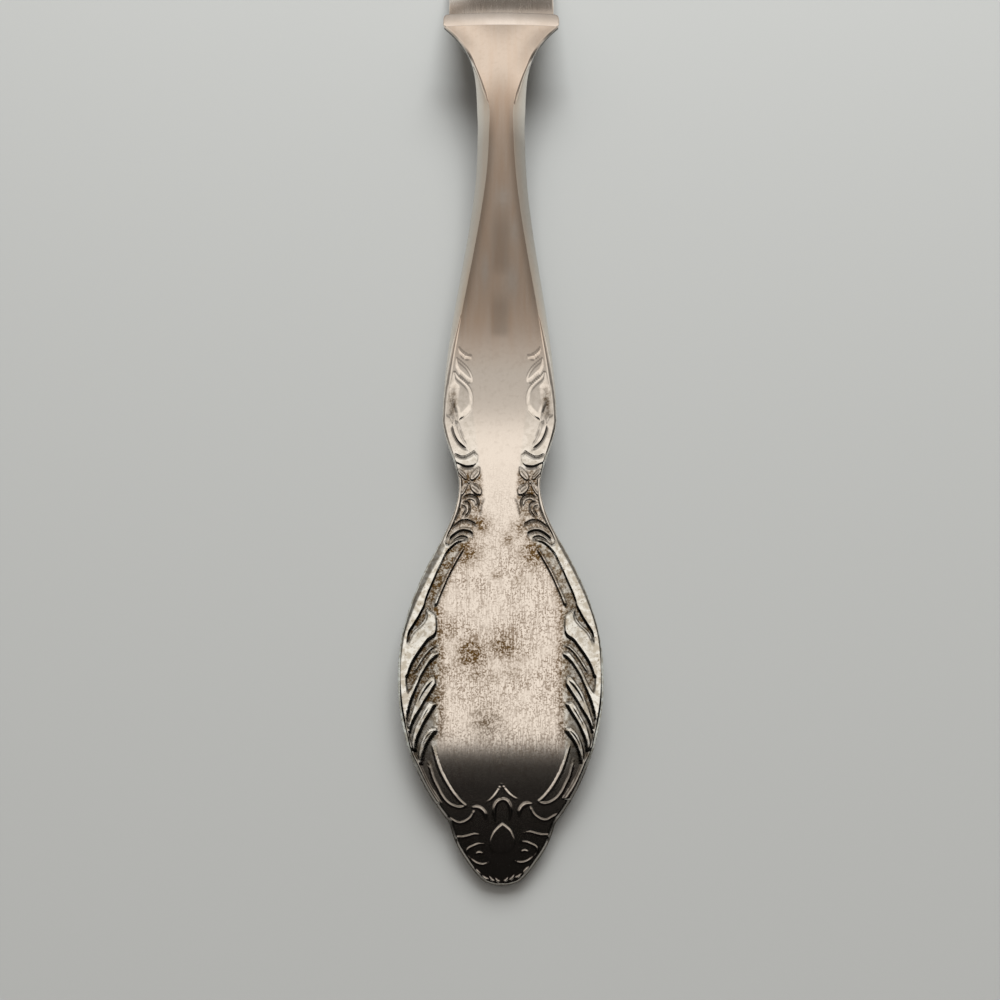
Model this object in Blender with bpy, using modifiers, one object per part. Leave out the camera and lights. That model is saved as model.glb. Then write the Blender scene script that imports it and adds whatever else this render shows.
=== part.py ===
"""Butter knife: a die-struck handle with a flared shoulder, a collar, and a cranked blade held by its tang.

The knife lies face up on a table, which is Z = 0. +Y runs from the tip of the handle to the tip of the
blade, +X is across the knife, and the origin is under the middle of its length. Places along the knife
are measured from the tip of the handle. Sizes are in metres.
"""

import math
from typing import NamedTuple

import bmesh
import bpy

MM = 0.001

# Lengths of the handle's stretches, in order from its tip
TIP_LENGTH = 5.6 * MM
NOTCH_LENGTH = 0.8 * MM
FAN_LENGTH = 4.2 * MM
PADDLE_SWELL_LENGTH = 10.5 * MM
PADDLE_TAPER_LENGTH = 13.4 * MM
WAIST_TAPER_LENGTH = 7.1 * MM
BULGE_SWELL_LENGTH = 8.5 * MM
STEM_LENGTH = 39.5 * MM
NECK_LENGTH = 4.5 * MM
FLARE_LENGTH = 14.5 * MM

# Widths of the handle at the ends of those stretches
TIP_WIDTH = 2.6 * MM
TIP_ROOT_WIDTH = 10.66 * MM
NOTCH_WIDTH = 11.7 * MM
FAN_WIDTH = 17.2 * MM
PADDLE_WIDTH = 22.0 * MM
PADDLE_TAPER_WIDTH = 14.2 * MM
WAIST_WIDTH = 9.3 * MM
BULGE_WIDTH = 13.4 * MM
NECK_WIDTH = 6.4 * MM
SHOULDER_WIDTH = 15.6 * MM

# How fast the half width grows along the handle, where the outline isn't parallel to the axis
TIP_SLOPE = 1.5
TIP_ROOT_SLOPE = 0.3
NOTCH_SLOPE = 0.85
FAN_SLOPE = 0.5
PADDLE_TAPER_SLOPE = -0.55
SHOULDER_SLOPE = 0.97

# Thicknesses of the handle
TIP_THICKNESS = 1.73 * MM
FAN_THICKNESS = 1.85 * MM
PADDLE_THICKNESS = 2.2 * MM
WAIST_THICKNESS = 2.6 * MM
NECK_THICKNESS = 3.5 * MM
SHOULDER_THICKNESS = 3.6 * MM

# Side view of the handle's face: a steady rise, a tip that droops, and a shoulder that levels off
FACE_RISE = 0.062
TIP_DROOP = 1.07 * MM
DROOP_REACH = 7.0 * MM
LEVELLING_LENGTH = 21.0 * MM

# Exponent of the handle's section: 2 is an ellipse, more is squarer
PADDLE_EXPONENT = 5.0
NECK_EXPONENT = 3.2
SHOULDER_EXPONENT = 5.0

# Collar between the handle's shoulder and the blade
COLLAR_LENGTH = 2.4 * MM
COLLAR_WIDTH = 16.2 * MM
COLLAR_THICKNESS = 3.6 * MM
COLLAR_EDGE_RADIUS = 0.5 * MM

# Blade, from its heel at the collar to its tip
BLADE_LENGTH = 66.8 * MM
BLADE_HEEL_WIDTH = 15.0 * MM
BLADE_BELLY_WIDTH = 18.2 * MM
BLADE_BELLY_PLACE = 38.0 * MM
BLADE_POINT_WIDTH = 1.4 * MM
BLADE_POINT_OFFSET = 4.6 * MM
BLADE_THICKNESS = 1.4 * MM
BLADE_EDGE_THICKNESS = 0.6 * MM
BLADE_GRIND_WIDTH = 4.5 * MM
BLADE_CHAMFER = 0.2 * MM
CRANK_START = 1.5 * MM
CRANK_LENGTH = 20.0 * MM
BLADE_POINT_EXPONENT = 2.6

# Joint of blade and handle: the tang, its solder and its two pins
TANG_DEPTH = 12.0 * MM
TANG_WIDTH = 3.6 * MM
TANG_THICKNESS = 1.1 * MM
TANG_ROOT = 2.0 * MM
SOLDER_FILM = 0.25 * MM
PIN_DIAMETER = 1.1 * MM
PIN_COVER = 0.45 * MM
REAR_PIN_PLACE = 8.5 * MM
FRONT_PIN_PLACE = 3.5 * MM

# Gaps: at the butted faces of collar, handle and blade, and around the pieces inside the joint
SEAM_GAP = 0.1 * MM
FIT_GAP = 0.05 * MM

# Fineness of the meshes
RING_SPACING = 1.5 * MM
HANDLE_RING_POINTS = 28
PIN_SIDES = 16
COLLAR_BEVEL_SEGMENTS = 2

HANDLE_LENGTH = (
    TIP_LENGTH + NOTCH_LENGTH + FAN_LENGTH + PADDLE_SWELL_LENGTH + PADDLE_TAPER_LENGTH
    + WAIST_TAPER_LENGTH + BULGE_SWELL_LENGTH + STEM_LENGTH + NECK_LENGTH + FLARE_LENGTH
)
COLLAR_START = HANDLE_LENGTH + SEAM_GAP
HEEL_PLACE = COLLAR_START + COLLAR_LENGTH + SEAM_GAP
OVERALL_LENGTH = HEEL_PLACE + BLADE_LENGTH

SILVER_PLATE = ("silver_plate", (0.72, 0.68, 0.63, 1.0), 0.32)
BLADE_PLATE = ("blade_plate", (0.74, 0.71, 0.67, 1.0), 0.25)
NICKEL_SILVER = ("nickel_silver", (0.66, 0.62, 0.54, 1.0), 0.40)
HARD_SOLDER = ("hard_solder", (0.62, 0.60, 0.56, 1.0), 0.50)


class Station(NamedTuple):
    """One place along the handle with the size of its section there."""

    along: float
    width: float
    slope: float
    thickness: float
    exponent: float


def handle_stations():
    """The handle's stations, from its tip to its shoulder."""
    stretches = (
        (0.0, TIP_WIDTH, TIP_SLOPE, TIP_THICKNESS, PADDLE_EXPONENT),
        (TIP_LENGTH, TIP_ROOT_WIDTH, TIP_ROOT_SLOPE, TIP_THICKNESS, PADDLE_EXPONENT),
        (NOTCH_LENGTH, NOTCH_WIDTH, NOTCH_SLOPE, TIP_THICKNESS, PADDLE_EXPONENT),
        (FAN_LENGTH, FAN_WIDTH, FAN_SLOPE, FAN_THICKNESS, PADDLE_EXPONENT),
        (PADDLE_SWELL_LENGTH, PADDLE_WIDTH, 0.0, PADDLE_THICKNESS, PADDLE_EXPONENT),
        (PADDLE_TAPER_LENGTH, PADDLE_TAPER_WIDTH, PADDLE_TAPER_SLOPE, PADDLE_THICKNESS, PADDLE_EXPONENT),
        (WAIST_TAPER_LENGTH, WAIST_WIDTH, 0.0, WAIST_THICKNESS, PADDLE_EXPONENT),
        (BULGE_SWELL_LENGTH, BULGE_WIDTH, 0.0, WAIST_THICKNESS, PADDLE_EXPONENT),
        (STEM_LENGTH, NECK_WIDTH, 0.0, NECK_THICKNESS, NECK_EXPONENT),
        (NECK_LENGTH, NECK_WIDTH, 0.0, NECK_THICKNESS, NECK_EXPONENT),
        (FLARE_LENGTH, SHOULDER_WIDTH, SHOULDER_SLOPE, SHOULDER_THICKNESS, SHOULDER_EXPONENT),
    )
    stations = []
    along = 0.0
    for length, width, slope, thickness, exponent in stretches:
        along += length
        stations.append(Station(along, width, slope, thickness, exponent))
    return stations


def smoothstep(share):
    """0 to 1 with level ends."""
    share = min(max(share, 0.0), 1.0)
    return share * share * (3.0 - 2.0 * share)


def hermite(share, start, start_slope, end, end_slope, length):
    """A cubic between two values with given slopes."""
    rest = 1.0 - share
    return (
        start * rest * rest * (1.0 + 2.0 * share)
        + end * share * share * (3.0 - 2.0 * share)
        + length * share * rest * (start_slope * rest - end_slope * share)
    )


def handle_size(along):
    """Half width, thickness and exponent of the handle at a place along it."""
    stations = handle_stations()
    pairs = zip(stations, stations[1:])
    before, after = next(pair for pair in pairs if along <= pair[1].along + FIT_GAP)
    length = after.along - before.along
    share = (along - before.along) / length
    half_width = hermite(
        share, before.width / 2, before.slope, after.width / 2, after.slope, length
    )
    blend = smoothstep(share)
    thickness = before.thickness + (after.thickness - before.thickness) * blend
    exponent = before.exponent + (after.exponent - before.exponent) * blend
    return half_width, thickness, exponent


def face_height(along):
    """Height of the handle's face on its centreline."""
    levelling_start = HANDLE_LENGTH - LEVELLING_LENGTH
    past = max(along - levelling_start, 0.0)
    risen = along - past * past / (2.0 * LEVELLING_LENGTH)
    drooped = TIP_DROOP * (1.0 - math.exp(-along / DROOP_REACH))
    return TIP_THICKNESS + FACE_RISE * risen + drooped


JOINT_HEIGHT = face_height(HANDLE_LENGTH) - SHOULDER_THICKNESS / 2


def places_between(start, end):
    """Evenly spaced places, about a ring spacing apart, with both ends."""
    count = max(1, round((end - start) / RING_SPACING))
    return [start + (end - start) * index / count for index in range(count + 1)]


def signed_power(value, power):
    return math.copysign(abs(value) ** power, value)


def handle_ring(along):
    """Closed section of the handle: a superellipse hung from the face's centreline."""
    half_width, thickness, exponent = handle_size(along)
    middle = face_height(along) - thickness / 2
    ring = []
    for index in range(HANDLE_RING_POINTS):
        angle = 2.0 * math.pi * index / HANDLE_RING_POINTS
        across = half_width * signed_power(math.cos(angle), 2.0 / exponent)
        up = thickness / 2 * signed_power(math.sin(angle), 2.0 / exponent)
        ring.append((across, along, middle + up))
    return ring


def blade_width(past_heel):
    """Middle and half width of the blade: it swells to the belly, then rounds off towards the spine."""
    if past_heel <= BLADE_BELLY_PLACE:
        share = past_heel / BLADE_BELLY_PLACE
        width = BLADE_HEEL_WIDTH + (BLADE_BELLY_WIDTH - BLADE_HEEL_WIDTH) * smoothstep(share)
        return 0.0, width / 2
    share = (past_heel - BLADE_BELLY_PLACE) / (BLADE_LENGTH - BLADE_BELLY_PLACE)
    rounding = max(1.0 - share**BLADE_POINT_EXPONENT, 0.0) ** (1.0 / 2.0)
    width = BLADE_POINT_WIDTH + (BLADE_BELLY_WIDTH - BLADE_POINT_WIDTH) * rounding
    return BLADE_POINT_OFFSET * share * share, width / 2


def blade_ring(past_heel):
    """Closed section of the blade: flat below, with a thick spine at +X and a ground edge at -X."""
    middle, half_width = blade_width(past_heel)
    left, right = middle - half_width, middle + half_width
    drop = smoothstep((past_heel - CRANK_START) / CRANK_LENGTH)
    bottom = (JOINT_HEIGHT - BLADE_THICKNESS / 2) * (1.0 - drop)
    corner = min(BLADE_CHAMFER, half_width / 3)
    grind = min(BLADE_GRIND_WIDTH, half_width)
    outline = (
        (left + corner, 0.0),
        (right - corner, 0.0),
        (right, corner),
        (right, BLADE_THICKNESS - corner),
        (right - corner, BLADE_THICKNESS),
        (left + grind, BLADE_THICKNESS),
        (left, BLADE_EDGE_THICKNESS),
        (left, corner),
    )
    return [(across, HEEL_PLACE + past_heel, bottom + up) for across, up in outline]


def blade_places():
    """Places of the blade's rings, closer together where the point rounds off."""
    swell = places_between(0.0, BLADE_BELLY_PLACE)
    count = len(places_between(BLADE_BELLY_PLACE, BLADE_LENGTH))
    quarter_turn = math.pi / 2
    round_off = [
        BLADE_BELLY_PLACE + (BLADE_LENGTH - BLADE_BELLY_PLACE) * math.sin(quarter_turn * index / count)
        for index in range(1, count + 1)
    ]
    return swell + round_off


def handle_places():
    """Places of the handle's rings: every station, and rings between them."""
    places = [0.0]
    stations = handle_stations()
    for before, after in zip(stations, stations[1:]):
        places += places_between(before.along, after.along)[1:]
    return places


def make_material(finish):
    name, colour, roughness = finish
    material = bpy.data.materials.new(name)
    material.use_nodes = True
    shader = material.node_tree.nodes["Principled BSDF"]
    shader.inputs["Base Color"].default_value = colour
    shader.inputs["Metallic"].default_value = 1.0
    shader.inputs["Roughness"].default_value = roughness
    return material


def add_object(name, mesh, collection, finish=None):
    """An object in a collection, placed from the tip of the handle."""
    piece = bpy.data.objects.new(name, mesh)
    collection.objects.link(piece)
    piece.parent = bpy.data.objects["knife"]
    if finish:
        mesh.materials.append(make_material(finish))
    return piece


def add_loft(name, rings, collection, finish):
    """A closed solid through a row of rings that have as many points each."""
    shape = bmesh.new()
    loops = [[shape.verts.new(point) for point in ring] for ring in rings]
    for near, far in zip(loops, loops[1:]):
        count = len(near)
        for index in range(count):
            following = (index + 1) % count
            shape.faces.new((near[index], near[following], far[following], far[index]))
    shape.faces.new(loops[0])
    shape.faces.new(loops[-1])
    bmesh.ops.recalc_face_normals(shape, faces=shape.faces)
    mesh = bpy.data.meshes.new(name)
    shape.to_mesh(mesh)
    shape.free()
    mesh.shade_smooth()
    mesh.set_sharp_from_angle(angle=math.radians(40))
    return add_object(name, mesh, collection, finish)


def add_box(name, size, centre, collection, finish=None):
    """A box of a given size about a centre."""
    shape = bmesh.new()
    bmesh.ops.create_cube(shape, size=1.0)
    bmesh.ops.scale(shape, vec=size, verts=shape.verts)
    mesh = bpy.data.meshes.new(name)
    shape.to_mesh(mesh)
    shape.free()
    piece = add_object(name, mesh, collection, finish)
    piece.location = centre
    return piece


def add_upright_pin(name, diameter, along, bottom, top, collection, finish=None):
    """A round pin that stands on the centreline, between two heights."""
    shape = bmesh.new()
    bmesh.ops.create_cone(
        shape,
        cap_ends=True,
        segments=PIN_SIDES,
        radius1=diameter / 2,
        radius2=diameter / 2,
        depth=top - bottom,
    )
    mesh = bpy.data.meshes.new(name)
    shape.to_mesh(mesh)
    shape.free()
    mesh.shade_smooth()
    mesh.set_sharp_from_angle(angle=math.radians(40))
    piece = add_object(name, mesh, collection, finish)
    piece.location = (0.0, along, (bottom + top) / 2)
    return piece


def combine(piece, tool, operation):
    """Cuts a piece with a helper, or joins the helper to it."""
    boolean = piece.modifiers.new(tool.name, "BOOLEAN")
    boolean.operation = operation
    boolean.object = tool
    tool.hide_render = True
    tool.display_type = "WIRE"


def tang_box(name, extra, back_extra, front, collection, finish=None):
    """A box round the tang, larger than it by some extra, from its buried end to a front place."""
    back = HANDLE_LENGTH - TANG_DEPTH - back_extra
    size = (TANG_WIDTH + 2 * extra, front - back, TANG_THICKNESS + 2 * extra)
    return add_box(name, size, (0.0, (front + back) / 2, JOINT_HEIGHT), collection, finish)


def pin_places():
    """Name, place, and lower and upper height of each tang pin."""
    pins = []
    for name, back_from_shoulder in (("rear", REAR_PIN_PLACE), ("front", FRONT_PIN_PLACE)):
        along = HANDLE_LENGTH - back_from_shoulder
        thickness = handle_size(along)[1]
        face = face_height(along)
        pins.append((name, along, face - thickness + FIT_GAP, face - PIN_COVER))
    return pins


def pin_holes(owner, collection):
    """Cutters for the pin holes of one piece, each a clearance wider and longer than its pin."""
    holes = []
    for name, along, bottom, top in pin_places():
        diameter = PIN_DIAMETER + 2 * FIT_GAP
        below = bottom - PIN_DIAMETER
        hole_name = f"{owner}_{name}_pin_hole"
        holes.append(add_upright_pin(hole_name, diameter, along, below, top + FIT_GAP, collection))
    return holes


def build_handle(parts, cutters):
    rings = [handle_ring(along) for along in handle_places()]
    handle = add_loft("handle", rings, parts, SILVER_PLATE)
    socket_extra = SOLDER_FILM + 2 * FIT_GAP
    mouth = HANDLE_LENGTH + COLLAR_LENGTH
    combine(handle, tang_box("tang_socket", socket_extra, socket_extra, mouth, cutters), "DIFFERENCE")
    for hole in pin_holes("handle", cutters):
        combine(handle, hole, "DIFFERENCE")


def build_collar(parts, cutters):
    centre = (0.0, COLLAR_START + COLLAR_LENGTH / 2, JOINT_HEIGHT)
    size = (COLLAR_WIDTH, COLLAR_LENGTH, COLLAR_THICKNESS)
    collar = add_box("collar", size, centre, parts, SILVER_PLATE)
    bevel = collar.modifiers.new("rounded_edges", "BEVEL")
    bevel.width = COLLAR_EDGE_RADIUS
    bevel.segments = COLLAR_BEVEL_SEGMENTS
    slot = tang_box("collar_slot", FIT_GAP, 0.0, HEEL_PLACE + COLLAR_LENGTH, cutters)
    combine(collar, slot, "DIFFERENCE")


def build_blade(parts, cutters):
    rings = [blade_ring(past_heel) for past_heel in blade_places()]
    blade = add_loft("blade", rings, parts, BLADE_PLATE)
    combine(blade, tang_box("tang", 0.0, 0.0, HEEL_PLACE + TANG_ROOT, cutters), "UNION")
    for hole in pin_holes("tang", cutters):
        combine(blade, hole, "DIFFERENCE")


def build_solder(parts, cutters):
    outer_extra = SOLDER_FILM + FIT_GAP
    solder = tang_box("tang_solder", outer_extra, outer_extra, HANDLE_LENGTH, parts, HARD_SOLDER)
    room_for_tang = tang_box("solder_room", FIT_GAP, FIT_GAP, HEEL_PLACE, cutters)
    combine(solder, room_for_tang, "DIFFERENCE")
    for hole in pin_holes("solder", cutters):
        combine(solder, hole, "DIFFERENCE")


def build_pins(parts):
    for name, along, bottom, top in pin_places():
        add_upright_pin(f"{name}_tang_pin", PIN_DIAMETER, along, bottom, top, parts, NICKEL_SILVER)


def new_collection(name):
    collection = bpy.data.collections.new(name)
    bpy.context.scene.collection.children.link(collection)
    return collection


def main():
    for leftover in list(bpy.data.objects):
        bpy.data.objects.remove(leftover)
    parts = new_collection("butter_knife")
    cutters = new_collection("cutters")
    frame = bpy.data.objects.new("knife", None)
    frame.location.y = -OVERALL_LENGTH / 2
    parts.objects.link(frame)
    build_handle(parts, cutters)
    build_collar(parts, cutters)
    build_blade(parts, cutters)
    build_solder(parts, cutters)
    build_pins(parts)


main()
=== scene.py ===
"""Dresses the butter knife's CAD frame: its struck handle, collar and blade, and the studio it lies in.

The handle's face carries a struck relief of leaves, scrolls and blossoms. Its lines are written in
millimetres, out from the axis and along from the handle's tip, for one half of the symmetric pattern.
"""

import logging
import math
from collections.abc import Sequence
from dataclasses import dataclass, field
from enum import Enum
from typing import Any

import bpy
import numpy as np
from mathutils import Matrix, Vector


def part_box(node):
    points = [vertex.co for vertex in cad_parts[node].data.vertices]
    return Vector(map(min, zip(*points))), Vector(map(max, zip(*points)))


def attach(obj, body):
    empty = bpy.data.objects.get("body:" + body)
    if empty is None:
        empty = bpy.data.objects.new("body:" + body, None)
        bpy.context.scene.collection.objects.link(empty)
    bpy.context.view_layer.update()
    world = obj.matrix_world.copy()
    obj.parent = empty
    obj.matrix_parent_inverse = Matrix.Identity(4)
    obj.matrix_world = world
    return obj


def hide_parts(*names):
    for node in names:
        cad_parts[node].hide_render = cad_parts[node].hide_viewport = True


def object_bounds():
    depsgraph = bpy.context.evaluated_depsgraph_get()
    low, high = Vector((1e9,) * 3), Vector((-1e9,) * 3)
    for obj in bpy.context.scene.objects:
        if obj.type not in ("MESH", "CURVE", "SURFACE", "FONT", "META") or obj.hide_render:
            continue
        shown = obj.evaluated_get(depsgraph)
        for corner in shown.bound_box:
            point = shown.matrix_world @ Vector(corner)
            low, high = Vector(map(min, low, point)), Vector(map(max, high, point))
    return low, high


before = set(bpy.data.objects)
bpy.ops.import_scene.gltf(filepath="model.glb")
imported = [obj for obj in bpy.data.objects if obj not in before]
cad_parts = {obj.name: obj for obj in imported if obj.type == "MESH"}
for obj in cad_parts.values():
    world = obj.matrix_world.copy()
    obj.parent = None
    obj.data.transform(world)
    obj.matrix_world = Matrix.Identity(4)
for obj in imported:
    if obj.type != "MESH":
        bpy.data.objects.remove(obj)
CAD_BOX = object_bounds()
LOG = logging.getLogger("butter_knife")
MM = 0.001
LINE_WIDTH = 0.11
HOLLOW_SHARES = (0.14, 0.3, 0.46, 0.62, 0.78)
HOLLOW_TAPER = 0.4
MERGE_GAP = 1e-8
TINY = 1e-12

Points = tuple[tuple[float, float], ...]


def linear(hex_colour: str) -> tuple[float, float, float, float]:
    """Turns an sRGB colour into Blender's linear colour.

    Args:
        hex_colour: Colour such as "#C0FFEE".

    Returns:
        Linear red, green and blue, and an alpha of 1.
    """
    shares = [int(hex_colour[start : start + 2], 16) / 255 for start in (1, 3, 5)]
    red, green, blue = [c / 12.92 if c <= 0.04045 else ((c + 0.055) / 1.055) ** 2.4 for c in shares]
    return red, green, blue, 1.0


def add_node(
    tree: bpy.types.NodeTree, kind: str, inputs: dict[Any, Any], output: int | str = 0, **settings: Any
) -> bpy.types.NodeSocket:
    """Adds a node with its settings, values and links.

    Args:
        tree: Node tree that gets the node.
        kind: Blender's name of the node type.
        inputs: Value or source socket of each input, by the input's name or index.
        output: Output that is asked for, by its name or index.
        **settings: Properties of the node.

    Returns:
        The socket of that output.
    """
    node = tree.nodes.new(kind)
    for name, value in settings.items():
        setattr(node, name, value)
    for key, value in inputs.items():
        if isinstance(value, bpy.types.NodeSocket):
            tree.links.new(value, node.inputs[key])
        else:
            node.inputs[key].default_value = value
    return node.outputs[output]


def smoothstep(share: np.ndarray) -> np.ndarray:
    """Goes from 0 to 1 with level ends."""
    share = np.clip(share, 0.0, 1.0)
    return share * share * (3.0 - 2.0 * share)


def profile(along: np.ndarray, stops: Points) -> np.ndarray:
    """Reads a table of values at places along the handle, as a column with a row for each place."""
    places, values = zip(*stops)
    return np.interp(along, places, values)[:, None]


def smooth_path(points: Points, steps: int = 6) -> np.ndarray:
    """Draws a smooth curve through points.

    Args:
        points: Points that the curve passes through.
        steps: Straight pieces between two points.

    Returns:
        Points of the curve, one per row.
    """
    knots = np.array(points, dtype=float)
    padded = np.vstack([2 * knots[0] - knots[1], knots, 2 * knots[-1] - knots[-2]])
    share = np.linspace(0.0, 1.0, steps, endpoint=False)[:, None]
    pieces = []
    for before, start, end, after in zip(padded, padded[1:], padded[2:], padded[3:]):
        pieces.append(
            0.5
            * (
                2 * start
                + (end - before) * share
                + (2 * before - 5 * start + 4 * end - after) * share**2
                + (3 * start - before - 3 * end + after) * share**3
            )
        )
    return np.vstack([*pieces, knots[-1:]])


def path_distance(path: np.ndarray, out: np.ndarray, along: np.ndarray) -> tuple[np.ndarray, np.ndarray]:
    """Measures how far places are from a path.

    Args:
        path: Points of the path, one per row.
        out: Distance of each place from the axis.
        along: Distance of each place from the handle's tip.

    Returns:
        Distance to the path, and the share of the path's points passed at its nearest place.
    """
    nearest = np.full(out.shape, np.inf)
    passed = np.zeros(out.shape)
    last = len(path) - 1
    for index, (start, end) in enumerate(zip(path, path[1:])):
        step = end - start
        share = ((out - start[0]) * step[0] + (along - start[1]) * step[1]) / max(step @ step, TINY)
        share = np.clip(share, 0.0, 1.0)
        gap = np.hypot(out - start[0] - share * step[0], along - start[1] - share * step[1])
        nearer = gap < nearest
        nearest = np.where(nearer, gap, nearest)
        passed = np.where(nearer, (index + share) / last, passed)
    return nearest, passed


def within(path: np.ndarray, out: np.ndarray, along: np.ndarray) -> np.ndarray:
    """Tells which places lie inside a closed path.

    Args:
        path: Points of the path, one per row.
        out: Distance of each place from the axis.
        along: Distance of each place from the handle's tip.

    Returns:
        True for each place inside.
    """
    inside = np.zeros(out.shape, dtype=bool)
    for start, end in zip(path, np.roll(path, -1, axis=0)):
        crosses = (start[1] > along) != (end[1] > along)
        rise = end[1] - start[1]
        meets = start[0] + (along - start[1]) * (end[0] - start[0]) / (rise if rise else TINY)
        inside ^= crosses & (out < meets)
    return inside


class Mark(Enum):
    """What a stroke of the die does to the face."""

    RIB = 1.0
    GROOVE = -1.0


@dataclass(frozen=True)
class Stroke:
    """A line of the relief, tapered at its ends, in millimetres."""

    points: Points
    mark: Mark
    width: float = 0.2
    depth: float = 0.15
    taper: float = 0.15
    # How dark the line is painted: tarnish and painted shade in a groove, painted shade at a rib's foot.
    line: float = 0.7
    end_strength: float = 0.35
    groove_fill: float = 1.6

    def shape_at(self, out: np.ndarray, along: np.ndarray) -> tuple[np.ndarray, np.ndarray]:
        """Works out the line's height, without its sign, and the tarnish and painted shade along it.

        Args:
            out: Distance of each place from the axis.
            along: Distance of each place from the handle's tip.

        Returns:
            Height and darkness at each place.
        """
        gap, passed = path_distance(smooth_path(self.points), out, along)
        grown = smoothstep(np.minimum(passed, 1.0 - passed) / self.taper)
        strength = self.end_strength + (1.0 - self.end_strength) * grown
        reach = self.width * strength
        if self.mark is Mark.GROOVE:
            dark = self.line * strength * smoothstep(self.groove_fill * (1.0 - gap / reach))
        else:
            dark = self.line * smoothstep(1.0 - np.abs(gap - reach) / LINE_WIDTH)
        return self.depth * strength * smoothstep(1.0 - gap / reach), dark

    def box(self) -> tuple[np.ndarray, np.ndarray]:
        """Finds how far the line reaches.

        Returns:
            Its lowest and its highest place.
        """
        path = smooth_path(self.points)
        margin = self.width + LINE_WIDTH
        return path.min(axis=0) - margin, path.max(axis=0) + margin


@dataclass(frozen=True)
class Leaf:
    """A raised patch between two edges that run from its tip to its root, in millimetres."""

    one_edge: Points
    other_edge: Points
    height: float = 0.26
    edge_radius: float = 0.28
    # How dark the foot is painted, for tarnish and painted shade.
    line: float = 0.9

    def outline(self) -> np.ndarray:
        """Draws the patch's closed outline.

        Returns:
            Points of the outline, one per row.
        """
        there = smooth_path(self.one_edge)
        back = smooth_path(self.other_edge)
        return np.vstack([there, back[::-1], there[:1]])

    def shape_at(self, out: np.ndarray, along: np.ndarray) -> tuple[np.ndarray, np.ndarray]:
        """Works out the patch's height, rounded at its edges, and the tarnish and painted shade at its foot.

        Args:
            out: Distance of each place from the axis.
            along: Distance of each place from the handle's tip.

        Returns:
            Height and darkness at each place.
        """
        path = self.outline()
        gap, _ = path_distance(path, out, along)
        inside = within(path, out, along)
        fall = 1.0 - np.clip(np.where(inside, gap, 0.0) / self.edge_radius, 0.0, 1.0)
        dark = self.line * smoothstep(1.0 - gap / np.where(inside, LINE_WIDTH / 2, LINE_WIDTH))
        return self.height * (1.0 - fall * fall), dark

    def box(self) -> tuple[np.ndarray, np.ndarray]:
        """Lowest and highest place that the patch reaches."""
        path = self.outline()
        return path.min(axis=0) - LINE_WIDTH, path.max(axis=0) + LINE_WIDTH


def leaf_hollow(leaf: Leaf, width: float, depth: float, line: float) -> Stroke:
    """Draws the hollow down the middle of a leaf.

    Args:
        leaf: The leaf.
        width: Half width of the hollow.
        depth: Depth of the hollow.
        line: Darkness of the painted shade in the hollow.

    Returns:
        A groove half way between the leaf's two edges.
    """
    edges = [smooth_path(edge) for edge in (leaf.one_edge, leaf.other_edge)]
    middle = []
    for share in HOLLOW_SHARES:
        one, other = [path[round(share * (len(path) - 1))] for path in edges]
        middle.append(tuple((one + other) / 2))
    return Stroke(tuple(middle), Mark.GROOVE, width, depth, HOLLOW_TAPER, line)


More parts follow.
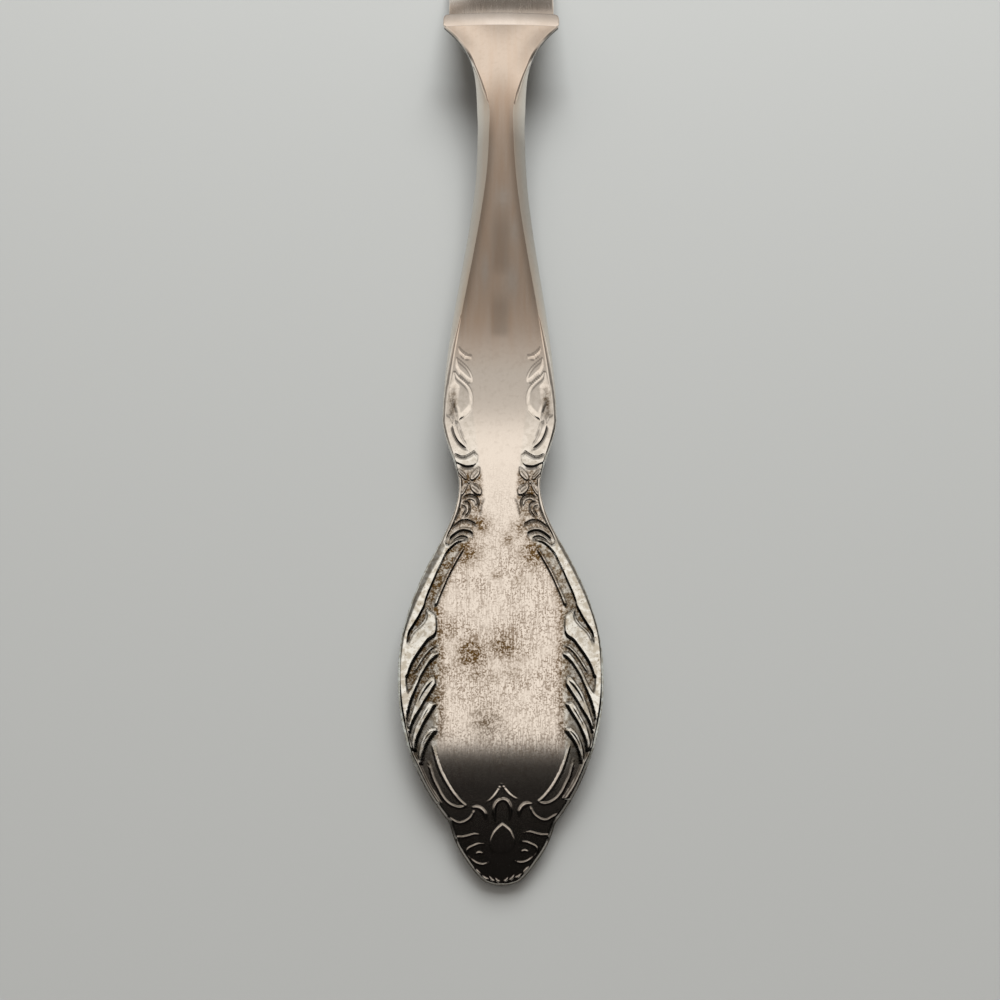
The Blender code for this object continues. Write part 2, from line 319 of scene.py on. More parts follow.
def paddle_leaves() -> list[Leaf]:
    """Draws the border and the leaves round the paddle, from the waist to the last leaf near the tip.

    Returns:
        The leaves of one half.
    """
    border = Leaf(
        (
            (3.9, 35.62), (4.5, 35.5), (5.1, 35.1), (5.6, 34.6), (6.05, 34.0), (6.5, 33.0), (6.95, 32.0),
            (7.35, 31.0), (7.77, 30.0), (8.13, 29.0), (8.3, 28.25), (8.65, 27.5), (8.9, 27.0), (9.2, 26.5),
            (9.5, 26.0), (9.75, 25.6), (9.92, 25.2), (10.0, 24.6), (9.97, 23.0), (9.97, 21.5), (10.0, 20.3),
            (9.85, 19.2), (9.7, 18.0), (9.77, 17.0), (9.8, 16.0), (9.6, 15.0), (9.38, 14.0), (9.0, 13.0),
            (8.4, 12.0), (7.9, 11.0), (7.35, 10.0), (6.65, 9.0), (6.2, 8.4),
        ),
        (
            (3.9, 35.7), (4.5, 35.78), (5.1, 35.6), (5.6, 35.2), (5.95, 35.25), (6.1, 35.6), (5.85, 36.3),
            (5.45, 37.1), (5.05, 38.0), (4.7, 39.0), (4.45, 40.0), (4.32, 41.0), (4.3, 42.0), (4.42, 43.0),
            (5.4, 43.0), (5.3, 41.0), (5.9, 39.0), (7.0, 37.0), (8.2, 35.2), (9.4, 33.0), (10.6, 30.0),
            (11.4, 27.0), (11.7, 24.0), (11.7, 20.0), (11.2, 16.5), (9.9, 13.0), (8.4, 10.2),
            (7.2, 8.2),
        ),
        0.19,
        0.17,
    )
    hooked = Leaf(
        (
            (8.12, 28.1), (8.1, 27.5), (8.2, 27.0), (8.5, 26.55), (8.85, 26.15), (9.25, 25.8), (9.6, 25.4),
            (9.85, 24.9), (9.97, 24.3), (10.2, 23.4), (10.4, 22.0), (10.3, 20.8),
        ),
        (
            (8.12, 28.1), (7.65, 27.75), (7.15, 27.4), (6.97, 26.9), (6.9, 26.1), (6.98, 25.4), (7.2, 25.0),
            (7.8, 24.6), (8.25, 24.0), (8.67, 23.4), (9.1, 22.75), (9.45, 22.1), (9.72, 21.4), (9.9, 20.7),
        ),
        0.19,
        0.16,
    )
    second = Leaf(
        (
            (6.65, 23.2), (7.0, 23.4), (7.4, 23.3), (7.8, 22.8), (8.2, 22.2), (8.6, 21.5), (8.9, 20.9),
            (9.1, 20.4), (9.5, 19.6), (9.9, 19.0), (10.2, 18.0), (10.2, 17.1),
        ),
        (
            (6.65, 23.2), (6.75, 23.0), (7.1, 22.7), (7.6, 22.2), (8.05, 21.5), (8.45, 20.8), (8.75, 20.1),
            (9.0, 19.5), (9.25, 18.8), (9.55, 17.9), (9.7, 17.1),
        ),
        0.17,
        0.14,
    )
    third = Leaf(
        (
            (6.93, 20.4), (7.1, 20.85), (7.5, 20.75), (7.9, 20.3), (8.3, 19.7), (8.7, 19.0), (9.0, 18.2),
            (9.25, 17.5), (9.47, 16.8), (9.7, 16.0), (9.7, 15.1),
        ),
        (
            (6.93, 20.4), (6.95, 19.95), (7.2, 19.5), (7.6, 18.9), (8.0, 18.3), (8.4, 17.6), (8.8, 16.95),
            (9.15, 16.3), (9.4, 15.6), (9.5, 15.1),
        ),
        0.16,
        0.13,
    )
    fourth = Leaf(
        (
            (6.82, 18.1), (7.5, 18.2), (7.9, 17.8), (8.15, 17.3), (8.4, 16.8), (8.68, 16.3), (8.92, 15.8),
            (9.1, 15.3), (9.25, 14.7), (9.35, 14.1), (9.3, 13.3),
        ),
        (
            (6.82, 18.0), (7.12, 17.5), (7.43, 17.0), (7.78, 16.5), (8.08, 16.0), (8.33, 15.5),
            (8.53, 15.0),
            (8.7, 14.5), (8.8, 14.0), (8.85, 13.3),
        ),
        0.15,
        0.12,
    )
    fifth = Leaf(
        (
            (6.7, 15.5), (7.25, 15.6), (7.68, 15.3), (8.03, 14.8), (8.28, 14.3), (8.46, 13.8), (8.58, 13.2),
            (8.62, 12.6), (8.6, 12.0),
        ),
        (
            (6.7, 15.3), (6.95, 15.0), (7.38, 14.5), (7.7, 14.0), (7.93, 13.5), (8.05, 13.0), (8.15, 12.5),
            (8.2, 12.0),
        ),
        0.14,
        0.12,
    )
    return [border, hooked, second, third, fourth, fifth]


def paddle_strokes() -> list[Stroke]:
    """Draws the fine ribs and grooves of the paddle's straps and leaves.

    Returns:
        The strokes of one half.
    """
    upper_strap = (
        (4.1, 34.8), (4.7, 33.8), (5.3, 32.7), (5.85, 31.6), (6.35, 30.4), (6.8, 29.3), (7.15, 28.3),
    )
    lower_strap = (
        (7.2, 14.15), (6.98, 13.3), (6.68, 12.35), (6.3, 11.4), (5.8, 10.5), (5.2, 9.6), (4.6, 8.9),
        (4.1, 8.42),
        (3.82, 8.18), (4.0, 8.03), (4.45, 7.96), (5.1, 8.15), (5.7, 8.55), (6.2, 9.15), (6.6, 9.85),
        (7.0, 10.6), (7.25, 11.3), (7.5, 12.4),
    )
    field_foot = (
        (0.02, 10.5), (0.14, 9.95), (0.33, 9.5), (0.62, 9.1), (1.08, 8.7), (1.65, 8.4), (1.95, 8.2),
    )
    hooked_vein = (
        (7.95, 27.9), (7.95, 27.3), (8.1, 26.7), (8.5, 26.15), (9.0, 25.7), (9.4, 25.25), (9.7, 24.7),
        (9.85, 24.2),
    )
    second_rib = (
        (6.8, 24.05), (7.3, 23.95), (7.8, 23.5), (8.3, 22.9), (8.65, 22.35), (9.0, 21.75), (9.3, 21.2),
    )
    _, hooked, second, third, fourth, fifth = paddle_leaves()
    return [
        # Hollows down the leaves, painted darker as shade.
        leaf_hollow(hooked, 0.6, 0.035, 0.1),
        leaf_hollow(second, 0.3, 0.06, 0.25),
        leaf_hollow(third, 0.42, 0.07, 0.28),
        leaf_hollow(fourth, 0.26, 0.05, 0.25),
        leaf_hollow(fifth, 0.22, 0.05, 0.2),
        Stroke(upper_strap, Mark.RIB, 0.27, 0.15, 0.05, 0.5),
        Stroke(lower_strap, Mark.RIB, 0.14, 0.07, 0.04, 0.4),
        Stroke(field_foot, Mark.RIB, 0.12, 0.05, 0.5, 0.2, 0.02),
        Stroke(hooked_vein, Mark.GROOVE, 0.12, 0.1, line=0.8),
        Stroke(second_rib, Mark.RIB, 0.14, 0.11, line=0.85),
    ]


def waist_leaves() -> list[Leaf]:
    """Draws the cup and the blossom at the waist.

    Returns:
        The leaves of one half.
    """
    cup = Leaf(
        (
            (2.4, 45.2), (2.5, 45.7), (2.9, 46.1), (3.2, 45.95), (3.55, 45.7), (4.0, 45.5), (4.5, 45.52),
            (5.0, 45.75), (5.6, 46.1),
        ),
        ((2.4, 45.2), (2.6, 44.7), (3.0, 44.35), (3.5, 44.25), (4.0, 44.28), (4.5, 44.5), (5.4, 44.9)),
        0.1,
        0.3,
        0.0,
    )
    upper_inner = Leaf(
        ((2.25, 44.25), (2.24, 43.9), (2.27, 43.5), (2.5, 43.1), (2.85, 42.75), (3.15, 42.6)),
        ((2.25, 44.25), (2.6, 44.1), (3.0, 43.75), (3.3, 43.25), (3.38, 42.8), (3.15, 42.6)),
        0.1,
        0.14,
        0.85,
    )
    upper_outer = Leaf(
        ((4.85, 44.0), (4.45, 43.9), (4.05, 43.55), (3.8, 43.15), (3.7, 42.75)),
        ((4.85, 44.0), (4.65, 43.5), (4.3, 43.08), (3.95, 42.75), (3.7, 42.75)),
        0.1,
        0.12,
        0.85,
    )
    lower_inner = Leaf(
        ((2.1, 40.95), (2.03, 41.3), (2.18, 41.78), (2.6, 42.18), (3.2, 42.3)),
        ((2.1, 40.95), (2.4, 40.88), (2.85, 41.1), (3.2, 41.5), (3.35, 42.0), (3.2, 42.3)),
        0.1,
        0.14,
        0.85,
    )
    lower_outer = Leaf(
        ((4.55, 40.75), (4.22, 40.92), (3.85, 41.5), (3.62, 42.1)),
        ((4.55, 40.75), (4.6, 41.2), (4.4, 41.8), (3.95, 42.3), (3.62, 42.1)),
        0.1,
        0.12,
        0.85,
    )
    return [cup, upper_inner, upper_outer, lower_inner, lower_outer]


def waist_strokes() -> list[Stroke]:
    """Draws the lines of the cup, the blossom, the scroll below it and the hooks over the paddle.

    Returns:
        The strokes of one half.
    """
    cup_top = (
        (2.5, 45.8), (2.95, 46.1), (3.2, 45.95), (3.55, 45.72), (4.0, 45.5), (4.5, 45.5), (4.95, 45.72),
        (5.4, 46.0),
    )
    cup_foot = ((2.9, 44.32), (3.5, 44.22), (4.0, 44.25), (4.5, 44.4))
    arch = ((2.45, 39.3), (2.4, 39.9), (2.5, 40.4), (2.85, 40.74), (3.4, 40.92), (3.85, 40.78), (4.3, 40.4))
    arch_rib = ((2.7, 39.6), (2.72, 40.1), (2.98, 40.42), (3.4, 40.55), (3.85, 40.42))
    scroll_outer = (
        (4.35, 40.07), (3.85, 40.07), (3.5, 39.85), (3.4, 39.4), (3.46, 38.95), (3.75, 38.55), (4.15, 38.2),
    )
    scroll_inner = ((4.5, 39.62), (4.12, 39.6), (3.88, 39.38), (3.88, 39.05), (4.05, 38.75), (4.35, 38.4))
    scroll_end = ((4.45, 39.5), (4.6, 38.9), (4.85, 38.35), (5.1, 38.0))
    arch_side = ((1.65, 40.6), (1.93, 40.2), (2.07, 39.6), (2.18, 39.0), (2.27, 38.5))
    crescent = (
        (2.5, 37.3), (3.0, 37.6), (3.5, 37.85), (4.0, 37.93), (4.5, 37.75), (5.0, 37.35), (5.4, 36.9),
    )
    upper_hook = (
        (3.0, 35.95), (3.25, 36.4), (3.75, 36.62), (4.25, 36.63), (4.8, 36.4), (5.35, 35.95), (5.8, 35.4),
    )
    hook_rib = ((3.0, 36.55), (3.35, 36.85), (4.0, 37.0), (4.6, 36.9), (5.3, 36.45), (5.8, 35.9))
    lower_hook = ((3.5, 35.65), (3.9, 35.95), (4.4, 36.03), (4.95, 35.8), (5.4, 35.4))
    eye = ((3.37, 42.44), (3.6, 42.44))
    veins = (
        ((3.15, 42.95), (2.75, 43.45), (2.45, 43.9)), ((3.85, 42.95), (4.2, 43.4), (4.65, 43.8)),
        ((3.2, 41.95), (2.75, 41.65), (2.35, 41.25)), ((3.05, 42.15), (2.6, 41.95), (2.25, 41.55)),
        ((3.8, 42.05), (4.1, 41.5), (4.4, 41.1)),
    )
    return [
        Stroke(cup_top, Mark.GROOVE, 0.2, 0.1, line=0.7),
        Stroke(cup_foot, Mark.GROOVE, 0.18, 0.08, line=0.8),
        Stroke(arch, Mark.GROOVE, 0.2, 0.1, line=0.8),
        Stroke(arch_rib, Mark.RIB, 0.17, 0.1, line=0.2),
        Stroke(scroll_outer, Mark.GROOVE, 0.2, 0.12, line=0.65),
        Stroke(scroll_inner, Mark.GROOVE, 0.18, 0.1, line=0.7),
        Stroke(scroll_end, Mark.GROOVE, 0.15, 0.08, line=0.6),
        Stroke(arch_side, Mark.GROOVE, 0.16, 0.05, line=0.6),
        Stroke(crescent, Mark.GROOVE, 0.26, 0.1, line=0.75),
        Stroke(upper_hook, Mark.GROOVE, 0.2, 0.12, line=0.65),
        Stroke(hook_rib, Mark.RIB, 0.17, 0.1, line=0.2),
        Stroke(lower_hook, Mark.GROOVE, 0.2, 0.12, line=0.65),
        *[Stroke(vein, Mark.GROOVE, 0.11, 0.05, line=0.65) for vein in veins],
        Stroke(eye, Mark.RIB, 0.18, 0.12, 0.01, 0.7),
    ]


def stem_leaves() -> list[Leaf]:
    """Draws the crescent, the lobe and the small leaves at the foot of the stem.

    Returns:
        The leaves of one half.
    """
    crescent = Leaf(
        ((3.7, 46.35), (3.8, 47.0), (4.05, 47.7), (4.35, 48.5), (4.55, 49.1), (4.8, 49.8)),
        ((3.7, 46.35), (4.3, 46.75), (4.85, 47.35), (5.25, 48.1), (5.5, 48.85), (5.55, 49.4), (5.3, 50.0)),
        0.07,
        0.5,
        0.0,
    )
    lobe = Leaf(
        (
            (4.85, 49.9), (4.2, 50.3), (3.65, 50.9), (3.25, 51.5), (3.15, 52.35), (3.2, 53.3), (3.55, 54.2),
            (4.2, 54.95), (4.8, 55.5), (5.3, 56.2),
        ),
        (
            (4.85, 49.9), (5.0, 50.5), (5.25, 51.3), (5.6, 52.1), (5.9, 53.0), (5.95, 54.0), (5.75, 55.0),
            (5.5, 56.2),
        ),
        0.14,
        0.6,
        0.45,
    )
    lens = Leaf(
        ((3.2, 55.05), (3.2, 55.4), (3.45, 56.1), (3.9, 56.8), (4.6, 57.5), (5.2, 58.0)),
        ((3.2, 55.05), (3.55, 55.0), (3.9, 55.22), (4.4, 55.72), (4.85, 56.2), (5.25, 57.0)),
        0.07,
        0.3,
        0.1,
    )
    last = Leaf(
        ((3.2, 58.05), (3.4, 58.25), (3.95, 58.45), (4.5, 58.9), (4.85, 59.35)),
        ((3.2, 58.0), (3.8, 57.98), (4.3, 58.2), (4.75, 58.7), (4.95, 59.2)),
        0.06,
        0.18,
        0.1,
    )
    return [crescent, lobe, lens, last]


def stem_strokes() -> list[Stroke]:
    """Draws the groove beside the crescent, the hollow outside the lobe and the lines under the leaves.

    Returns:
        The strokes of one half.
    """
    beside_crescent = (
        (3.72, 46.4), (4.35, 46.8), (4.87, 47.35), (5.27, 48.1), (5.52, 48.85), (5.57, 49.4),
    )
    streak = ((3.95, 47.2), (4.45, 48.25), (4.7, 49.1))
    fall = ((5.5, 50.3), (5.65, 51.3), (5.6, 52.5), (5.5, 53.7), (5.35, 54.7))
    hollow = ((5.45, 49.8), (5.5, 50.5), (5.65, 51.2), (5.75, 51.8))
    under_lens = ((3.3, 54.82), (3.85, 55.15), (4.35, 55.67), (4.8, 56.12))
    under_last = ((3.2, 57.85), (4.2, 58.12), (4.75, 58.65))
    return [
        Stroke(beside_crescent, Mark.GROOVE, 0.2, 0.1, line=0.75),
        Stroke(streak, Mark.GROOVE, 0.14, 0.03, line=0.35),
        Stroke(fall, Mark.GROOVE, 0.9, 0.1, line=0.0),
        Stroke(hollow, Mark.GROOVE, 0.35, 0.12, 0.3, 0.3),
        Stroke(under_lens, Mark.GROOVE, 0.15, 0.05, line=0.4),
        Stroke(under_last, Mark.GROOVE, 0.13, 0.04, line=0.35),
    ]


def tip_leaves() -> list[Leaf]:
    """Draws the bud in the middle of the handle's tip.

    Returns:
        The leaves of one half.
    """
    bud_side = (
        (0.0, 6.3), (0.4, 6.02), (0.85, 5.6), (1.12, 5.1), (1.3, 4.6), (1.3, 4.25), (1.05, 3.85),
        (0.7, 3.6),
        (0.3, 3.5), (0.0, 3.48),
    )
    bud = Leaf(bud_side, tuple((-out, along) for out, along in bud_side), 0.06, 0.13, 0.4)
    return [bud]


def tip_strokes() -> list[Stroke]:
    """Draws the scrolls and arch above the tip's shell, the shell's ribs and the lumps along its rim.

    Returns:
        The strokes of one half.
    """
    scroll = (
        (5.6, 7.0), (5.05, 6.72), (4.55, 6.47), (4.0, 6.5), (3.4, 6.82), (3.03, 7.25), (2.86, 7.75),
    )
    knob = ((3.0, 7.95), (2.6, 7.97), (2.25, 7.85), (1.95, 7.6), (1.75, 7.25), (1.7, 6.85))
    arch = ((0.72, 6.6), (0.82, 7.1), (0.84, 7.6), (0.7, 8.05), (0.42, 8.4), (0.0, 8.54), (-0.42, 8.4))
    shell = (
        ((2.2, 5.26), (2.8, 5.35), (3.4, 5.2), (4.0, 5.08), (4.5, 5.08), (4.74, 4.95), (4.68, 4.55)),
        ((1.85, 4.4), (2.4, 4.42), (2.95, 4.22), (3.4, 4.0), (3.56, 3.7), (3.48, 3.35), (3.2, 3.05)),
        ((1.2, 2.68), (1.85, 2.5), (2.45, 2.6), (2.85, 2.82), (3.15, 3.05)),
        ((1.9, 3.5), (2.3, 3.62), (2.7, 3.45)),
    )
    lumps = (
        ((2.75, 2.1), (2.35, 1.75), (2.1, 1.45)), ((1.95, 1.42), (1.65, 1.18), (1.3, 1.12)),
        ((1.25, 1.35), (1.0, 1.02), (0.7, 0.9)), ((0.62, 1.15), (0.45, 0.9), (0.15, 0.82)),
    )
    return [
        Stroke(scroll, Mark.RIB, 0.12, 0.07, 0.1, 0.6),
        Stroke(knob, Mark.RIB, 0.23, 0.11, 0.25, 0.6),
        Stroke(arch, Mark.RIB, 0.18, 0.11, 0.3, 0.6),
        *[Stroke(line, Mark.RIB, 0.12, 0.07, 0.3, 0.6) for line in shell],
        *[Stroke(line, Mark.RIB, 0.15, 0.08, 0.3, 0.6) for line in lumps],
    ]


@dataclass(frozen=True)
class Relief:
    """The struck ornament of the handle's face, in millimetres."""

    leaves: list[Leaf]
    strokes: list[Stroke]
    hidden_depth: float = 0.06

    def add_up(
        self, shapes: Sequence[Stroke | Leaf], out: np.ndarray, along: np.ndarray
    ) -> tuple[np.ndarray, np.ndarray]:
        """Takes the highest of several shapes at each place, with the dark lines that it leaves in sight.

        Args:
            shapes: Leaves or strokes.
            out: Distance of each place from the axis.
            along: Distance of each place from the tip.

        Returns:
            Height of the highest shape and darkness of the lines at each place, 0 where there is none.
        """
        height, dark = np.zeros(out.shape), np.zeros(out.shape)
        found = []
        for shape in shapes:
            low, high = shape.box()
            near = (out >= low[0]) & (out <= high[0]) & (along >= low[1]) & (along <= high[1])
            own_height, own_dark = shape.shape_at(out[near], along[near])
            height[near] = np.maximum(height[near], own_height)
            found.append((near, own_height, own_dark))
        for near, own_height, own_dark in found:
            in_sight = smoothstep(1.0 - (height[near] - own_height) / self.hidden_depth)
            dark[near] = np.maximum(dark[near], own_dark * in_sight)
        return height, dark

    def shape(self, out: np.ndarray, along: np.ndarray) -> tuple[np.ndarray, np.ndarray]:
        """Works out the whole ornament.

        Args:
            out: Distance of each place from the axis.
            along: Distance of each place from the tip.

        Returns:
            Height over the plain face and darkness of the lines at each place.
        """
        ribs = [stroke for stroke in self.strokes if stroke.mark is Mark.RIB]
        grooves = [stroke for stroke in self.strokes if stroke.mark is Mark.GROOVE]
        raised, leaf_dark = self.add_up(self.leaves, out, along)
        ridged, rib_dark = self.add_up(ribs, out, along)
        cut, groove_dark = self.add_up(grooves, out, along)
        return raised + ridged - cut, np.maximum(np.maximum(leaf_dark, rib_dark), groove_dark)


@dataclass(frozen=True)
class Station:
    """A place along the handle with its section's sizes, in millimetres."""

    along: float
    half_width: float
    spread: float
    thickness: float


@dataclass(frozen=True)
class Edge:
    """A place along the handle with its sloping edge, its rounding below and its crown, in millimetres."""

    along: float
    width: float
    drop: float
    under_width: float
    under_drop: float
    crown: float = 0.0


def hermite(
    share: np.ndarray,
    start: np.ndarray,
    start_slope: np.ndarray,
    end: np.ndarray,
    end_slope: np.ndarray,
    length: np.ndarray,
) -> np.ndarray:
    """Draws a cubic between two values with given slopes.

    Args:
        share: Share of the way from one to the other.
        start: First value.
        start_slope: Slope at the first value.
        end: Second value.
        end_slope: Slope at the second value.
        length: Distance between the two.

    Returns:
        Value of the cubic.
    """
    rest = 1.0 - share
    return (
        start * rest * rest * (1.0 + 2.0 * share)
        + end * share * share * (3.0 - 2.0 * share)
        + length * share * rest * (start_slope * rest - end_slope * share)
    )


@dataclass(frozen=True)
class HandleForm:
    """Plain form of the handle under its ornament, in millimetres from its tip."""

    stations: tuple[Station, ...] = (
        Station(0.4, 1.3, 1.5, 1.73),
        Station(3.0, 3.82, 0.78, 1.73),
        Station(6.0, 5.33, 0.3, 1.73),
        Station(6.8, 5.85, 0.85, 1.73),
        Station(11.0, 8.6, 0.5, 1.85),
        Station(21.5, 11.0, 0.0, 2.2),
        Station(34.9, 7.1, -0.55, 2.2),
        Station(42.0, 4.65, 0.0, 2.6),
        Station(50.5, 6.7, 0.0, 2.6),
        Station(90.0, 3.2, 0.0, 3.5),
        Station(94.5, 3.2, 0.06, 3.5),
        Station(109.0, 7.8, 1.0, 3.6),
    )
    edges: tuple[Edge, ...] = (
        Edge(0.4, 0.3, 0.25, 0.25, 0.15),
        Edge(6.0, 0.4, 0.3, 0.4, 0.3),
        Edge(13.0, 0.45, 0.36, 0.5, 0.4),
        Edge(21.5, 0.35, 0.34, 0.55, 0.45),
        Edge(25.0, 0.3, 0.24, 0.55, 0.45),
        Edge(28.0, 0.5, 0.38, 0.55, 0.45),
        Edge(31.0, 0.68, 0.46, 0.55, 0.45),
        Edge(34.0, 0.78, 0.5, 0.55, 0.45),
        Edge(36.0, 0.6, 0.4, 0.55, 0.5),
        Edge(38.0, 0.3, 0.22, 0.55, 0.5),
        Edge(40.0, 0.15, 0.12, 0.55, 0.5),
        Edge(43.0, 0.15, 0.12, 0.55, 0.5),
        Edge(46.0, 0.25, 0.25, 0.55, 0.5),
        Edge(50.0, 0.4, 0.3, 0.6, 0.5),
        Edge(53.0, 0.6, 0.42, 0.6, 0.6),
        Edge(56.0, 0.8, 0.62, 0.6, 0.6),
        Edge(60.0, 1.0, 0.9, 0.7, 0.6),
        Edge(70.0, 1.25, 1.5, 1.0, 0.8),
        Edge(84.0, 1.5, 2.0, 1.6, 1.0),
        Edge(94.5, 1.65, 2.0, 2.0, 1.2),
        Edge(97.0, 1.4, 1.75, 2.6, 1.6),
        Edge(99.5, 0.85, 1.0, 3.2, 2.0, 0.1),
        Edge(101.8, 0.4, 0.4, 3.8, 2.3, 0.2),
        Edge(105.0, 0.3, 0.2, 5.0, 2.6, 0.3),
        Edge(109.0, 0.3, 0.12, 5.5, 2.9, 0.3),
    )
    face_rise: float = 0.062
    tip_droop: float = 1.07
    droop_reach: float = 7.0
    levelling_length: float = 21.0
    tip_round: float = 0.5
    tip_lead: float = 0.01

    @property
    def start(self) -> float:
        """Place of the handle's tip on the die's scale."""
        return self.stations[0].along

    @property
    def end(self) -> float:
        """Place of the handle's shoulder on the die's scale."""
        return self.stations[-1].along

    def sizes(self, along: np.ndarray) -> dict[str, np.ndarray]:
        """Works out the section's sizes along the handle, with the corners of the tip rounded off.

        Args:
            along: Places along the handle.

        Returns:
            Half width, thickness, the width and drop of the sloping edge and of the rounding below it, and
            the crown at each place.
        """
        starts = np.array([station.along for station in self.stations])
        index = np.clip(np.searchsorted(starts, along, side="right") - 1, 0, len(starts) - 2)
        length = starts[index + 1] - starts[index]
        share = (along - starts[index]) / length
        half = np.array([station.half_width for station in self.stations])
        spread = np.array([station.spread for station in self.stations])
        drawn = hermite(share, half[index], spread[index], half[index + 1], spread[index + 1], length)
        corner = 1.0 - np.clip((along - self.start + self.tip_lead) / self.tip_round, 0.0, 1.0)
        sizes = {"half": drawn * np.sqrt(1.0 - corner * corner)}
        thickness = np.array([station.thickness for station in self.stations])
        thicker = thickness[index + 1] - thickness[index]
        sizes["thickness"] = thickness[index] + thicker * smoothstep(share)
        places = [edge.along for edge in self.edges]
        for name in ("width", "drop", "under_width", "under_drop", "crown"):
            sizes[name] = np.interp(along, places, [getattr(edge, name) for edge in self.edges])
        return sizes

    def face_height(self, along: np.ndarray) -> np.ndarray:
        """Works out the face's height on its middle: a drooping tip, a steady rise and a level shoulder.

        Args:
            along: Places along the handle.

        Returns:
            Height at each place.
        """
        past = np.maximum(along - (self.end - self.levelling_length), 0.0)
        from_tip = along - self.start
        risen = from_tip - past * past / (2.0 * self.levelling_length)
        drooped = self.tip_droop * (1.0 - np.exp(-from_tip / self.droop_reach))
        return self.stations[0].thickness + self.face_rise * risen + drooped

    def lean(self, along: np.ndarray) -> np.ndarray:
        """Cosine of the angle between the outline and the handle's axis."""
        slope = np.gradient(self.sizes(along)["half"], along)
        return 1.0 / np.sqrt(1.0 + slope * slope)

    def inset(self, across: np.ndarray, along: np.ndarray) -> np.ndarray:
        """How far each place is inside the outline, for places across as rows of rings."""
        side = (self.sizes(along)["half"][:, None] - np.abs(across)) * self.lean(along)[:, None]
        return np.minimum(side, along[:, None] - self.start)


def deselect_all() -> None:
    """Leaves object mode with nothing selected."""
    if bpy.context.object and bpy.context.object.mode != "OBJECT":
        bpy.ops.object.mode_set(mode="OBJECT")
    bpy.ops.object.select_all(action="DESELECT")


def sharpen_creases(mesh: bpy.types.Mesh) -> None:
    """Makes each edge sharp whose two ends are marked as a crease.

    Args:
        mesh: Mesh with the attribute "crease".
    """
    marks = np.zeros(len(mesh.vertices))
    mesh.attributes["crease"].data.foreach_get("value", marks)
    ends = np.zeros(2 * len(mesh.edges), dtype=np.int32)
    mesh.edges.foreach_get("vertices", ends)
    for index in np.flatnonzero(marks[ends.reshape(-1, 2)].min(axis=1) > 0.5):
        mesh.edges[int(index)].use_edge_sharp = True
    mesh.update()


def tube_from_rings(
    name: str, rings: np.ndarray, attributes: dict[str, np.ndarray], sharp: float
) -> bpy.types.Object:
    """Rolls a grid into a closed tube through rings, and closes its ends.

    Args:
        name: Name of the piece.
        rings: Points in metres, as rows of rings, with the first point of a ring not repeated.
        attributes: Values for each point, by attribute name.
        sharp: Angle in degrees from which an edge stays sharp.

    Returns:
        The finished piece.
    """
    rows, points, _ = rings.shape
    deselect_all()
    bpy.ops.mesh.primitive_grid_add(x_subdivisions=points, y_subdivisions=rows - 1, size=1.0)
    piece = bpy.context.object
    piece.name = name
    piece.data.name = name
    closed = np.concatenate([rings, rings[:, :1]], axis=1)
    piece.data.vertices.foreach_set("co", closed.reshape(-1))
    for key, values in attributes.items():
        layer = piece.data.attributes.new(key, "FLOAT", "POINT")
        layer.data.foreach_set("value", np.concatenate([values, values[:, :1]], axis=1).reshape(-1))
    piece.data.update()
    bpy.ops.object.transform_apply(location=True, rotation=True, scale=True)
    bpy.ops.object.mode_set(mode="EDIT")
    bpy.ops.mesh.select_all(action="SELECT")
    bpy.ops.mesh.remove_doubles(threshold=MERGE_GAP)
    bpy.ops.mesh.fill_holes(sides=0)
    bpy.ops.mesh.select_all(action="SELECT")
    bpy.ops.mesh.normals_make_consistent(inside=False)
    bpy.ops.object.mode_set(mode="OBJECT")
    bpy.ops.object.shade_smooth_by_angle(angle=math.radians(sharp))
    if "crease" in attributes:
        sharpen_creases(piece.data)
    return piece


def finish_piece(
    piece: bpy.types.Object, material: bpy.types.Material, nodes: tuple[str, ...]
) -> None:
    """Gives a piece its material and its place in the frame, and reports it.

    Args:
        piece: The finished piece.
        material: Its only material.
        nodes: CAD nodes that it stands for.
    """
    piece.data.materials.clear()
    piece.data.materials.append(material)
    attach(piece, "root")
    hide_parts(*nodes)
    LOG.info("%s: %d faces, stands for %s", piece.name, len(piece.data.polygons), ", ".join(nodes))


